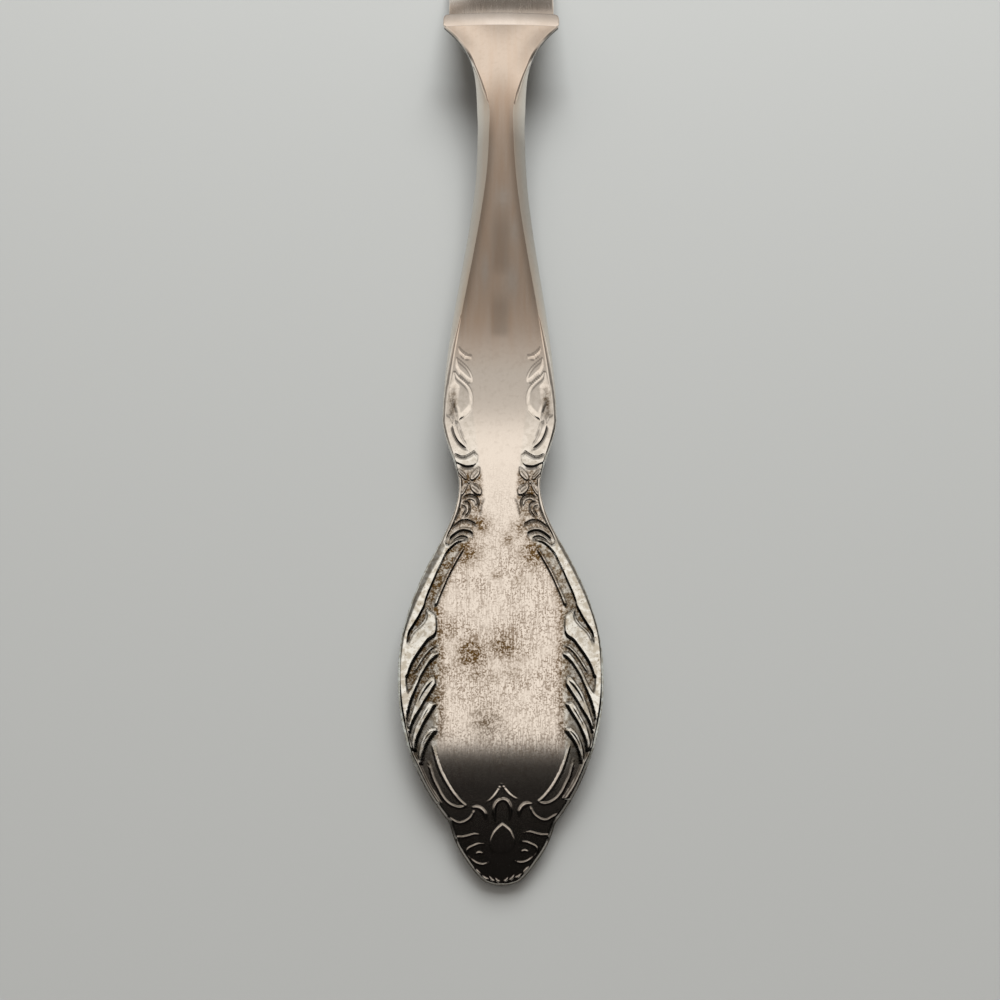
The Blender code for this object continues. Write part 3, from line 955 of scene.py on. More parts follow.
@dataclass(frozen=True)
class StruckSilver:
    """Nickel silver that was die-struck, silver-plated and rubbed by years of polishing cloths.

    Attributes:
        name: Name of the material.
        clean: Colour of the rubbed plate.
        layers: Colours laid over it in turn, each after the value that says how much.
        roughness: Roughness of the rubbed plate.
        rough_end: Roughness of the dullest tarnish.
        scratch_strength: How strongly the brushed lines tilt the surface.
        scratch_depth: Their depth in millimetres.
        marks: Values that the handle's mesh carries.
        patterns: Noises, each with its size in millimetres along X, Y and Z, and its levels of finer noise.
        spreads: Noises stretched from between two values to between two others.
        steps: Sums, in order: the name of the result, the operation, and its two values.
    """

    # To the eye: a warm mirror on the open places that a cloth reaches, brown and matt at the foot of the
    # leaves where it doesn't, and nearly black in the cuts. The same brown and near black also serve as
    # painted shade on the tip, the stem's facets and creases, the flare's sides and the back, and at the foot
    # of each leaf and rib. Speckle, grain and brushed lines are finer on the real plate, and are drawn as
    # coarse as the render needs to show them.
    name: str = "struck_silver_plate"
    clean: str = "#E9E3DA"
    layers: tuple[tuple[str, str], ...] = (
        ("wear", "#6B553C"),
        ("leaf", "#E9EBE6"),
        ("clouded", "#B4AE9F"),
        ("tanned", "#DDC8B4"),
        ("tarnished", "#6C5430"),
        # Dark brown: tarnish between the leaves and in the lobe's hollow, and painted shade on the tip, the
        # stem's facets and creases, the flare's sides and the back.
        ("dark_tarnish_and_painted_shade", "#2D261B"),
        # Near black: tarnish in the cuts, and painted shade at the foot of each leaf and rib.
        ("line", "#21170B"),
    )
    roughness: float = 0.07
    rough_end: float = 0.35
    scratch_strength: float = 0.3
    scratch_depth: float = 0.015
    marks: tuple[str, ...] = ("line", "ground", "field", "stain", "tan", "leaf")
    patterns: tuple[tuple[str, tuple[float, float, float], float], ...] = (
        ("speckle", (0.2, 0.2, 0.2), 3.0),
        ("grain", (0.12, 0.12, 0.12), 3.0),
        ("blotch", (2.5, 2.5, 2.5), 4.0),
        ("brush", (0.1, 1.3, 1.3), 2.0),
        ("streak", (0.7, 9.0, 9.0), 2.0),
        ("mottle", (0.6, 0.6, 0.6), 5.0),
    )
    spreads: tuple[tuple[str, str, tuple[float, float, float, float]], ...] = (
        ("pitted", "speckle", (0.52, 0.58, 0.0, 1.0)),
        ("brushed", "brush", (0.51, 0.58, 0.0, 0.7)),
        ("worn", "blotch", (0.3, 0.6, 0.18, 0.75)),
        ("smudged", "mottle", (0.5, 0.68, 0.0, 0.1)),
        ("spotted", "speckle", (0.42, 0.55, 0.25, 1.0)),
        ("grained", "grain", (0.45, 0.65, 0.0, 0.4)),
        ("patchy", "mottle", (0.4, 0.56, 0.45, 1.0)),
        ("streaked", "streak", (0.35, 0.6, 1.0, 0.75)),
        ("cloudy", "mottle", (0.4, 0.58, 0.0, 0.8)),
        ("flecked", "speckle", (0.6, 0.7, 0.0, 0.7)),
        ("uneven", "speckle", (0.3, 0.55, 0.92, 1.0)),
    )
    steps: tuple[tuple[str, str, str, str | float], ...] = (
        ("rubbed", "ADD", "pitted", "brushed"),
        ("rubbed", "MULTIPLY", "rubbed", "worn"),
        ("wear", "MULTIPLY", "field", "rubbed"),
        ("wear", "MAXIMUM", "wear", "smudged"),
        ("broken", "ADD", "spotted", "grained"),
        ("broken", "MULTIPLY", "broken", "patchy"),
        ("brown", "MULTIPLY", "stain", "broken"),
        ("tanned", "MULTIPLY", "tan", "streaked"),
        ("clouded", "MULTIPLY", "leaf", "cloudy"),
        ("specked", "MULTIPLY", "leaf", "flecked"),
        ("dark_tarnish_and_painted_shade", "MULTIPLY", "ground", "uneven"),
        ("tarnished", "MAXIMUM", "brown", "specked"),
        ("dull_wear", "MULTIPLY", "wear", 0.2),
        ("dull_ground", "MULTIPLY", "dark_tarnish_and_painted_shade", 0.45),
        ("dull_ground", "ADD", "brown", "dull_ground"),
        ("dull_tan", "MULTIPLY", "tan", 0.25),
        ("dull", "ADD", "dull_wear", "dull_ground"),
        ("dull", "MAXIMUM", "dull", "dull_tan"),
        ("scratch", "MULTIPLY", "brush", "field"),
    )

    def build(self) -> bpy.types.Material:
        """Makes the material, which reads the marks that the handle's mesh carries.

        Returns:
            The material.
        """
        material = bpy.data.materials.new(self.name)
        material.use_nodes = True
        tree = material.node_tree
        place = add_node(tree, "ShaderNodeTexCoord", {}, "Object")
        found = {}
        for name in self.marks:
            found[name] = add_node(tree, "ShaderNodeAttribute", {}, "Fac", attribute_name=name)
        for name, size, detail in self.patterns:
            scale = tuple(1.0 / (length * MM) for length in size)
            scaled = add_node(tree, "ShaderNodeMapping", {"Vector": place, "Scale": scale})
            inputs = {"Vector": scaled, "Scale": 1.0, "Detail": detail}
            found[name] = add_node(tree, "ShaderNodeTexNoise", inputs)
        for name, source, (low, high, start, end) in self.spreads:
            inputs = {"Value": found[source], "From Min": low, "From Max": high}
            found[name] = add_node(tree, "ShaderNodeMapRange", inputs | {"To Min": start, "To Max": end})
        for name, operation, one, other in self.steps:
            inputs = {0: found[one], 1: found.get(other, other)}
            found[name] = add_node(tree, "ShaderNodeMath", inputs, operation=operation, use_clamp=True)
        # A colour mix takes its share at input 0 and its two colours at 6 and 7, and gives its result at 2.
        colour = linear(self.clean)
        for share, tone in self.layers:
            inputs = {0: found[share], 6: colour, 7: linear(tone)}
            colour = add_node(tree, "ShaderNodeMix", inputs, 2, data_type="RGBA")
        inputs = {"Value": found["dull"], "To Min": self.roughness, "To Max": self.rough_end}
        rough = add_node(tree, "ShaderNodeMapRange", inputs)
        inputs = {
            "Height": found["scratch"],
            "Strength": self.scratch_strength,
            "Distance": self.scratch_depth * MM,
        }
        bump = add_node(tree, "ShaderNodeBump", inputs)
        shader = tree.nodes["Principled BSDF"]
        shader.inputs["Metallic"].default_value = 1.0
        for key, source in {"Base Color": colour, "Roughness": rough, "Normal": bump}.items():
            tree.links.new(source, shader.inputs[key])
        return material


@dataclass(frozen=True)
class Spot:
    """A soft patch on the face: its middle and its reach, in millimetres, and its strength."""

    across: float
    along: float
    reach: float
    length: float
    strength: float = 1.0

    def share_at(self, across: np.ndarray, along: np.ndarray) -> np.ndarray:
        """Strength of the patch at each place, for places across as rows of rings."""
        gap = ((across - self.across) / self.reach) ** 2 + ((along[:, None] - self.along) / self.length) ** 2
        return self.strength * np.exp(-gap)


@dataclass(frozen=True)
class PatinaAndPaintedShade:
    """Tarnish, wear and painted shade on the struck face, in millimetres from the handle's tip.

    Tables give a value at places along the handle. Strengths are shares, and one over 1 widens a spot, since
    the material holds it at 1.
    """

    form: HandleForm
    field_reach: Points = (
        (8.0, 2.0), (9.5, 5.0), (12.0, 6.2), (14.0, 6.5), (16.0, 6.4), (20.0, 6.35), (24.0, 6.4),
        (28.0, 6.7), (30.0, 6.3), (32.0, 5.6), (34.0, 4.6), (36.0, 3.0), (38.0, 2.2), (40.0, 1.9),
        (44.0, 2.1), (46.0, 2.3), (52.0, 3.0),
    )
    ground_strength: Points = (
        (7.0, 0.5), (13.0, 0.9), (16.5, 0.6), (20.0, 0.4), (26.0, 0.45), (29.0, 0.35), (35.0, 0.2),
        (36.0, 0.05), (40.5, 0.05), (41.0, 0.12), (44.0, 0.12), (44.6, 0.0),
    )
    ground_gap: float = 0.15
    ground_fade: float = 0.9
    ground_height: float = 0.11
    bright_rim: float = 0.4
    # Painted shade over the tip, which turns down towards the dark; its ribs are left lighter.
    tip_strength: Points = ((8.4, 0.5), (9.6, 0.0))
    tip_rubbed: float = 0.3
    tip_rubbed_from: float = 0.05
    tip_rubbed_over: float = 0.04
    # Painted shade on the stem's sloping facets, stronger on the right.
    facet_strength: Points = ((60.0, 0.0), (66.0, 0.12), (78.0, 0.35), (90.0, 0.4), (96.0, 0.05))
    facet_sharpness: float = 12.0
    facet_skew: float = 0.25
    # Painted shade along the outline near the tip, where the edge faces the shadowed floor.
    edge_strength: Points = ((11.0, 0.95), (14.0, 0.0))
    edge_width: float = 0.45
    # Painted shade on the flare's sides, stronger on the right.
    shoulder_strength: Points = ((100.0, 0.0), (103.5, 0.22), (108.0, 0.22), (109.0, 0.132))
    shoulder_sides: tuple[tuple[float, float, float], ...] = ((0.8, 0.28, 1.0), (-0.85, 0.2, 0.4))
    lobe_hollow: Spot = Spot(5.5, 52.2, 0.45, 1.6)
    hollow_dark: float = 0.5
    # Painted shade on the leaves and straps near the tip, where the face turns down towards the dark.
    low_leaf_strength: Points = ((13.0, 0.6), (15.5, 0.0))
    low_strap_strength: Points = ((7.5, 0.0), (8.5, 0.4), (12.5, 0.4), (14.5, 0.0))
    low_strap_height: float = 0.03
    patch_strength: Points = (
        (60.5, 0.0), (61.5, 0.24), (65.0, 0.24), (67.5, 0.0), (69.0, 0.0), (70.5, 0.2), (76.0, 0.2),
        (80.0, 0.0),
    )
    patch_width: float = 1.1
    # Painted shade along the creases where the stem's face meets its facets.
    crease_strength: Points = ((60.0, 0.0), (66.0, 0.36), (90.0, 0.4), (96.0, 0.0))
    crease_reach: float = 0.65
    crease_lap: float = 0.02
    wear_strength: Points = (
        (9.0, 0.4), (12.0, 0.75), (17.0, 0.75), (20.0, 1.0), (33.0, 1.0), (38.0, 0.5), (46.0, 0.05),
    )
    wear_lap: float = 0.35
    wear_fade: float = 0.5
    leaf_strength: Points = (
        (10.0, 0.0), (13.0, 1.0), (35.0, 1.0), (37.0, 0.2), (43.5, 0.2), (44.5, 0.8), (47.0, 0.3),
        (60.0, 0.0),
    )
    leaf_fade: float = 0.4
    stains: tuple[Spot, ...] = (
        Spot(-3.2, 23.2, 1.6, 1.6, 1.7),
        Spot(0.3, 24.0, 1.5, 1.5, 1.3),
        Spot(-1.6, 16.2, 1.6, 1.6, 0.8),
        Spot(-3.8, 34.3, 1.5, 1.5, 1.6),
        Spot(3.8, 34.2, 1.5, 1.5, 1.6),
        Spot(-6.1, 25.6, 1.2, 1.2, 0.9),
        Spot(-6.3, 21.5, 1.2, 1.2, 0.8),
        Spot(-2.6, 21.0, 1.0, 1.0, 0.7),
        Spot(-0.9, 20.7, 1.0, 1.0, 0.6),
        Spot(1.2, 21.4, 1.0, 1.0, 0.6),
        Spot(1.8, 22.9, 0.9, 0.9, 0.6),
        Spot(-0.4, 31.7, 0.5, 0.5, 0.9),
        Spot(2.1, 31.2, 0.7, 0.7, 0.7),
        Spot(-2.3, 37.6, 1.1, 1.1, 1.4),
        Spot(2.2, 36.9, 1.0, 1.0, 1.3),
        Spot(1.0, 35.8, 0.9, 0.9, 0.9),
    )
    border_strength: Points = ((13.0, 0.0), (15.0, 0.85), (36.0, 0.85), (39.0, 0.0))
    border_place: float = 0.05
    border_width: float = 0.55
    waist_strength: Points = ((35.5, 0.0), (36.5, 0.8), (40.5, 0.85), (41.0, 1.1), (43.5, 1.1), (44.3, 0.0))
    waist_fade: float = 0.6
    waist_rim: float = 0.5
    waist_height: float = 0.09
    strap_strength: Points = ((15.0, 0.0), (19.0, 1.0), (35.0, 1.0), (36.0, 0.0))
    strap_start: float = 0.6
    strap_fade: float = 0.5
    strap_skew: float = 0.15
    tan_strength: Points = ((56.0, 0.0), (63.0, 1.0), (96.0, 1.0), (101.0, 0.6), (109.0, 0.6))
    pale_spots: tuple[Spot, ...] = (
        Spot(1.5, 68.6, 0.8, 2.2, 0.6),
        Spot(1.7, 75.6, 0.5, 1.8, 0.6),
        Spot(0.3, 80.6, 1.0, 1.4, 0.6),
        Spot(-1.9, 70.0, 0.5, 2.5, 0.6),
    )

    def inside_field(self, across: np.ndarray, along: np.ndarray) -> np.ndarray:
        """How far each place is inside the plain field."""
        return profile(along, self.field_reach) - np.abs(across)

    def hollow(self, across: np.ndarray, along: np.ndarray) -> np.ndarray:
        """Share of the dark that sits in the hollow outside the lobe at the stem's foot."""
        return self.lobe_hollow.share_at(np.abs(across), along)

    def paddle_ground(self, across: np.ndarray, along: np.ndarray, ornament: np.ndarray) -> np.ndarray:
        """Works out tarnish between the leaves, and painted shade on the low leaves, straps, outline and tip.

        Args:
            across: Place across of each point, as rows of rings.
            along: Place of each ring.
            ornament: Height of the ornament at each point.

        Returns:
            Darkness of each point.
        """
        past = smoothstep((-self.inside_field(across, along) - self.ground_gap) / self.ground_fade)
        low = smoothstep(1.0 - ornament / self.ground_height)
        half = self.form.sizes(along)["half"][:, None]
        rim = smoothstep((half - np.abs(across)) / self.bright_rim)
        rubbed = self.tip_rubbed * smoothstep((ornament - self.tip_rubbed_from) / self.tip_rubbed_over)
        edge = smoothstep(1.0 - self.form.inset(across, along) / self.edge_width)
        strap = smoothstep(ornament / self.low_strap_height)
        return np.maximum.reduce([
            past * low * rim * profile(along, self.ground_strength),
            edge * profile(along, self.edge_strength),
            profile(along, self.tip_strength) * (1.0 - rubbed),
            past * profile(along, self.low_leaf_strength),
            strap * profile(along, self.low_strap_strength),
            self.hollow_dark * self.hollow(across, along),
        ])

    def stem_ground(self, across: np.ndarray, along: np.ndarray) -> np.ndarray:
        """Works out painted shade on the stem's slopes, creases and shoulder, and darker patches on its face.

        Args:
            across: Place across of each point, as rows of rings.
            along: Place of each ring.

        Returns:
            Darkness of each point.
        """
        sizes = self.form.sizes(along)
        width, half = sizes["width"][:, None], sizes["half"][:, None]
        inset = self.form.inset(across, along)
        facet = smoothstep(self.facet_sharpness * (1.0 - inset / width))
        facet = facet * (1.0 + self.facet_skew * np.sign(across))
        shoulder = np.zeros(across.shape)
        for place, reach, share in self.shoulder_sides:
            shoulder += share * np.exp(-(((across / half - place) / reach) ** 2))
        inner = inset - width
        crease = np.where(inner > -self.crease_lap, np.exp(-((inner / self.crease_reach) ** 2)), 0.0)
        return np.maximum.reduce([
            facet * profile(along, self.facet_strength),
            shoulder * profile(along, self.shoulder_strength),
            crease * profile(along, self.crease_strength),
            np.exp(-((across / self.patch_width) ** 4)) * profile(along, self.patch_strength),
        ])

    def worked_field(self, across: np.ndarray, along: np.ndarray) -> np.ndarray:
        """Where the paddle's field is worn by use."""
        inside = smoothstep((self.inside_field(across, along) + self.wear_lap) / self.wear_fade + 0.5)
        return inside * profile(along, self.wear_strength)

    def mottled(self, across: np.ndarray, along: np.ndarray) -> np.ndarray:
        """Where the tops of the leaves have gone mottled."""
        outside = smoothstep(-self.inside_field(across, along) / self.leaf_fade)
        return outside * profile(along, self.leaf_strength)

    def stain(self, across: np.ndarray, along: np.ndarray, ornament: np.ndarray) -> np.ndarray:
        """Works out where brown tarnish has gathered: in spots, round the field, at the waist and on straps.

        Args:
            across: Place across of each point, as rows of rings.
            along: Place of each ring.
            ornament: Height of the ornament at each point.

        Returns:
            Strength of the tarnish at each point.
        """
        inside = self.inside_field(across, along)
        border = np.exp(-(((inside + self.border_place) / self.border_width) ** 2))
        waist = smoothstep(0.5 - inside / self.waist_fade)
        waist = waist * smoothstep(self.form.inset(across, along) / self.waist_rim)
        waist = waist * (0.5 + 0.5 * smoothstep(1.0 - ornament / self.waist_height))
        strap = smoothstep(self.strap_start - inside / self.strap_fade)
        strap = strap * smoothstep(1.0 - ornament / self.ground_height)
        strap = strap * (1.0 - self.strap_skew * np.sign(across))
        return np.maximum.reduce([
            *[spot.share_at(across, along) for spot in self.stains],
            border * profile(along, self.border_strength),
            waist * profile(along, self.waist_strength),
            strap * profile(along, self.strap_strength),
            self.hollow(across, along),
        ])

    def tanned(self, across: np.ndarray, along: np.ndarray) -> np.ndarray:
        """Works out where the stem has gone tan from handling.

        Args:
            across: Place across of each point, as rows of rings.
            along: Place of each ring.

        Returns:
            Strength of the tan at each point.
        """
        width = self.form.sizes(along)["width"][:, None]
        pale = np.maximum.reduce([spot.share_at(across, along) for spot in self.pale_spots])
        inner = smoothstep(self.form.inset(across, along) / width)
        return inner * profile(along, self.tan_strength) * (1.0 - pale)

    def marks(self, across: np.ndarray, along: np.ndarray, ornament: np.ndarray) -> dict[str, np.ndarray]:
        """Works out all that the struck silver reads, apart from the lines.

        Args:
            across: Place across of each point, as rows of rings.
            along: Place of each ring.
            ornament: Height of the ornament at each point.

        Returns:
            Values for each point, by attribute name.
        """
        # Tarnish between the leaves, with painted shade on the tip, the outline, the stem and the flare.
        ground = np.maximum(self.paddle_ground(across, along, ornament), self.stem_ground(across, along))
        return {
            "ground": ground,
            "field": self.worked_field(across, along),
            "stain": self.stain(across, along, ornament),
            "tan": self.tanned(across, along),
            "leaf": self.mottled(across, along),
        }


@dataclass
class Handle:
    """The struck handle: plain form, relief, patina and painted shade, in millimetres from its tip."""

    form: HandleForm = field(default_factory=HandleForm)
    tip_steps: tuple[float, ...] = (0.0, 0.02, 0.045)
    tip_end: float = 12.0
    tip_row: float = 0.07
    paddle_end: float = 36.0
    paddle_row: float = 0.14
    fine_end: float = 52.0
    fine_row: float = 0.125
    middle_end: float = 62.0
    middle_row: float = 0.2
    coarse_row: float = 1.0
    end_lap: float = 0.15
    edge_columns: int = 10
    side_columns: int = 52
    middle_columns: int = 16
    middle_share: Points = ((12.0, 0.235), (14.0, 0.45))
    least_flat: float = 0.45
    under_columns: int = 12
    axis_stray: Points = (
        (0.4, 0.0), (7.0, 0.08), (12.0, -0.05), (20.0, -0.08), (36.0, -0.15), (42.0, -0.22), (60.0, -0.22),
        (85.0, 0.0),
    )
    die_lag: Points = ((5.0, 0.1), (7.0, 0.15), (8.5, 0.2), (14.0, 0.0))
    lag_width: float = 1.5
    crease_softness: Points = (
        (38.0, 0.06), (46.0, 0.25), (60.0, 0.25), (64.0, 0.001), (96.0, 0.001), (101.0, 0.4),
    )
    rim_share: Points = ((14.0, 0.0), (18.0, 0.14), (60.0, 0.14), (70.0, 0.0))
    rim_power: float = 8.0
    edge_skew: Points = ((22.0, 0.0), (27.0, 0.3), (35.0, 0.3), (38.0, 0.0))
    edge_spread: Points = ((60.0, 1.1), (62.0, 1.0))
    crease_start: float = 62.0
    crease_end: float = 97.0
    straight_back: Points = ((95.0, 0.0), (100.0, 1.0))
    back_power: float = 1.3
    back_shade: Points = ((80.0, 0.3), (95.0, 0.9))
    sharp_angle: float = 75.0

    def relief(self) -> Relief:
        """All of the ornament's leaves and strokes."""
        leaves = [*paddle_leaves(), *waist_leaves(), *stem_leaves(), *tip_leaves()]
        return Relief(leaves, [*paddle_strokes(), *waist_strokes(), *stem_strokes(), *tip_strokes()])

    def rows(self) -> np.ndarray:
        """Places the mesh's rings along the handle, close together under the ornament.

        Returns:
            Place of each ring.
        """
        start, end = self.form.start, self.form.end
        rows = [start + np.array(self.tip_steps)]
        for begin, stop, step in (
            (start, self.tip_end, self.tip_row),
            (self.tip_end, self.paddle_end, self.paddle_row),
            (self.paddle_end, self.fine_end, self.fine_row),
            (self.fine_end, self.middle_end, self.middle_row),
            (self.middle_end, end, self.coarse_row),
            (end, end + self.end_lap, self.end_lap),
        ):
            rows.append(np.linspace(begin, stop, round((stop - begin) / step) + 1)[1:])
        return np.concatenate(rows)

    def face_columns(self, along: np.ndarray, half: np.ndarray, edge: np.ndarray) -> np.ndarray:
        """Places the points across the face, from +X to -X, for each ring.

        Args:
            along: Place of each ring.
            half: Half width of each ring.
            edge: Width of each ring's sloping edge.

        Returns:
            Place across of each point, as rows of rings.
        """
        inner = np.maximum(half - edge, half * self.least_flat)[:, None]
        turn = np.linspace(0.0, math.pi / 2, self.edge_columns + 1)[:-1]
        rim = inner + (half[:, None] - inner) * (1.0 - turn / (math.pi / 2) + np.cos(turn)) / 2
        share = profile(along, self.middle_share)
        side = 1.0 - (1.0 - share) * np.linspace(0.0, 1.0, self.side_columns + 1)[:-1]
        middle = share * np.linspace(1.0, 0.0, self.middle_columns + 1)
        right = np.concatenate([rim, inner * np.concatenate([side, middle], axis=1)], axis=1)
        return np.concatenate([right, -right[:, -2::-1]], axis=1)

    def edge_fall(self, inset: np.ndarray, width: np.ndarray, along: np.ndarray) -> np.ndarray:
        """Works out the share of the edge's drop: a soft crease, a straight slope and a rounded rim.

        Args:
            inset: Distance of each place from the outline.
            width: Width of the sloping edge there.
            along: Place of each ring.

        Returns:
            0 inside the slope and up to 1 at the outline.
        """
        fall = 1.0 - np.clip(inset / width, 0.0, 1.0)
        blend = profile(along, self.crease_softness)
        slope = fall * fall * (1.0 + blend) / (fall + blend)
        rim = profile(along, self.rim_share)
        return (1.0 - rim) * slope + rim * fall**self.rim_power

    def face(self, along: np.ndarray) -> tuple[np.ndarray, np.ndarray, np.ndarray, np.ndarray]:
        """Works out the struck face, on a die that was set slightly turned at the tip.

        Args:
            along: Place of each ring.

        Returns:
            Place across and height of each point, how high the ornament is there, and its dark lines.
        """
        sizes = self.form.sizes(along)
        edge = sizes["width"] * profile(along, self.edge_spread)[:, 0] / self.form.lean(along)
        across = self.face_columns(along, sizes["half"], edge)
        lag = profile(along, self.die_lag) * np.tanh(across / self.lag_width)
        ornament, dark = self.relief().shape(np.abs(across), along[:, None] - lag)
        share = 1.0 - profile(along, self.edge_skew) * np.sign(across)
        fall = self.edge_fall(self.form.inset(across, along), sizes["width"][:, None] * share, along)
        height = self.form.face_height(along)[:, None] + ornament - sizes["drop"][:, None] * share * fall
        height = height - sizes["crown"][:, None] * (across / sizes["half"][:, None]) ** 2
        return across, height, ornament, dark

    def underside(self, along: np.ndarray) -> tuple[np.ndarray, np.ndarray]:
        """Works out the plain back, from -X to +X.

        Args:
            along: Place of each ring.

        Returns:
            Place across and height of each point.
        """
        sizes = self.form.sizes(along)
        half = sizes["half"][:, None]
        across = half * np.sin(np.linspace(-math.pi / 2, math.pi / 2, self.under_columns))
        inset = np.minimum(half - np.abs(across), along[:, None] - self.form.start)
        fall = 1.0 - np.clip(inset / sizes["under_width"][:, None], 0.0, 1.0)
        straight = profile(along, self.straight_back)
        rounding = (1.0 - straight) * (1.0 - np.sqrt(1.0 - fall * fall)) + straight * fall**self.back_power
        bottom = self.form.face_height(along) - sizes["thickness"]
        return across, bottom[:, None] + sizes["under_drop"][:, None] * rounding

    def crease(self, across: np.ndarray, along: np.ndarray) -> np.ndarray:
        """Marks the two columns where the stem's face meets its sloping edges.

        Args:
            across: Place across of each point, as rows of rings.
            along: Place of each ring.

        Returns:
            1 on the creases and 0 elsewhere.
        """
        marks = np.zeros(across.shape)
        sharp = (along > self.crease_start) & (along < self.crease_end)
        marks[sharp, self.edge_columns] = 1.0
        marks[sharp, -1 - self.edge_columns] = 1.0
        return marks

    def build(self) -> bpy.types.Object:
        """Makes the handle's mesh with its patina and painted shade attributes.

        Returns:
            The piece.
        """
        along = self.rows()
        across, height, ornament, dark = self.face(along)
        under_across, under_height = self.underside(along)
        wall = np.array([1.0, 2.0]) / 3.0
        left = height[:, -1:] + (under_height[:, :1] - height[:, -1:]) * wall
        right = under_height[:, -1:] + (height[:, :1] - under_height[:, -1:]) * wall
        half = np.repeat(across[:, :1], 2, axis=1)
        x = np.concatenate([across, -half, under_across, half], axis=1) + profile(along, self.axis_stray)
        y = np.broadcast_to(along[:, None] - self.form.start, x.shape)
        z = np.concatenate([height, left, under_height, right], axis=1)
        rings = np.stack([x * MM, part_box("handle")[0].y + y * MM, z * MM], axis=-1)
        attributes = {"line": dark, **PatinaAndPaintedShade(self.form).marks(across, along, ornament)}
        attributes["crease"] = self.crease(across, along)
        plain = np.zeros((len(along), x.shape[1] - across.shape[1]))
        for name, values in attributes.items():
            # Painted shade on the back and the walls, darker towards the shoulder.
            back = plain + profile(along, self.back_shade) if name == "ground" else plain
            attributes[name] = np.concatenate([values, back], axis=1)
        return tube_from_rings("struck_handle", rings, attributes, self.sharp_angle)

    def dress(self, piece: bpy.types.Object) -> None:
        """Gives the handle its struck silver."""
        finish_piece(piece, StruckSilver().build(), ("handle",))


@dataclass(frozen=True)
class PlainSilver:
    """Polished silver plate with the scratches of use, in millimetres."""

    # To the eye: a soft warm mirror, a little cloudy, with fine lines along the knife. Real scratches are
    # finer, and are drawn as coarse as the render needs to show them.
    name: str
    tone: str = "#E6DED4"
    shade: str = "#D3C6B8"
    roughness: float = 0.16
    rough_spread: float = 0.12
    scratch_width: float = 0.1
    scratch_length: float = 3.0
    scratch_depth: float = 0.01
    scratch_strength: float = 0.15
    scratch_detail: float = 2.0
    scratch_range: tuple[float, float] = (0.3, 0.7)
    cloud_size: float = 6.0
    cloud_detail: float = 4.0
    cloud_range: tuple[float, float] = (0.35, 0.6)

    def build(self) -> bpy.types.Material:
        """Makes the material.

        Returns:
            The material.
        """
        material = bpy.data.materials.new(self.name)
        material.use_nodes = True
        tree = material.node_tree
        place = add_node(tree, "ShaderNodeTexCoord", {}, "Object")
        inputs = {"Vector": place, "Scale": 1 / (self.cloud_size * MM), "Detail": self.cloud_detail}
        cloud = add_node(tree, "ShaderNodeTexNoise", inputs)
        sizes = (self.scratch_width, self.scratch_length, self.scratch_length)
        scale = tuple(1 / (size * MM) for size in sizes)
        drawn = add_node(tree, "ShaderNodeMapping", {"Vector": place, "Scale": scale})
        inputs = {"Vector": drawn, "Scale": 1.0, "Detail": self.scratch_detail}
        scratch = add_node(tree, "ShaderNodeTexNoise", inputs)
        colour = add_node(tree, "ShaderNodeValToRGB", {"Fac": cloud})
        tones = (self.shade, self.tone)
        for element, position, tone in zip(colour.node.color_ramp.elements, self.cloud_range, tones):
            element.position = position
            element.color = linear(tone)
        inputs = {"Value": scratch, "To Min": self.roughness, "To Max": self.roughness + self.rough_spread}
        inputs["From Min"], inputs["From Max"] = self.scratch_range
        rough = add_node(tree, "ShaderNodeMapRange", inputs)
        inputs = {"Height": scratch, "Strength": self.scratch_strength, "Distance": self.scratch_depth * MM}
        bump = add_node(tree, "ShaderNodeBump", inputs)
        shader = tree.nodes["Principled BSDF"]
        shader.inputs["Metallic"].default_value = 1.0
        for key, source in {"Base Color": colour, "Roughness": rough, "Normal": bump}.items():
            tree.links.new(source, shader.inputs[key])
        return material


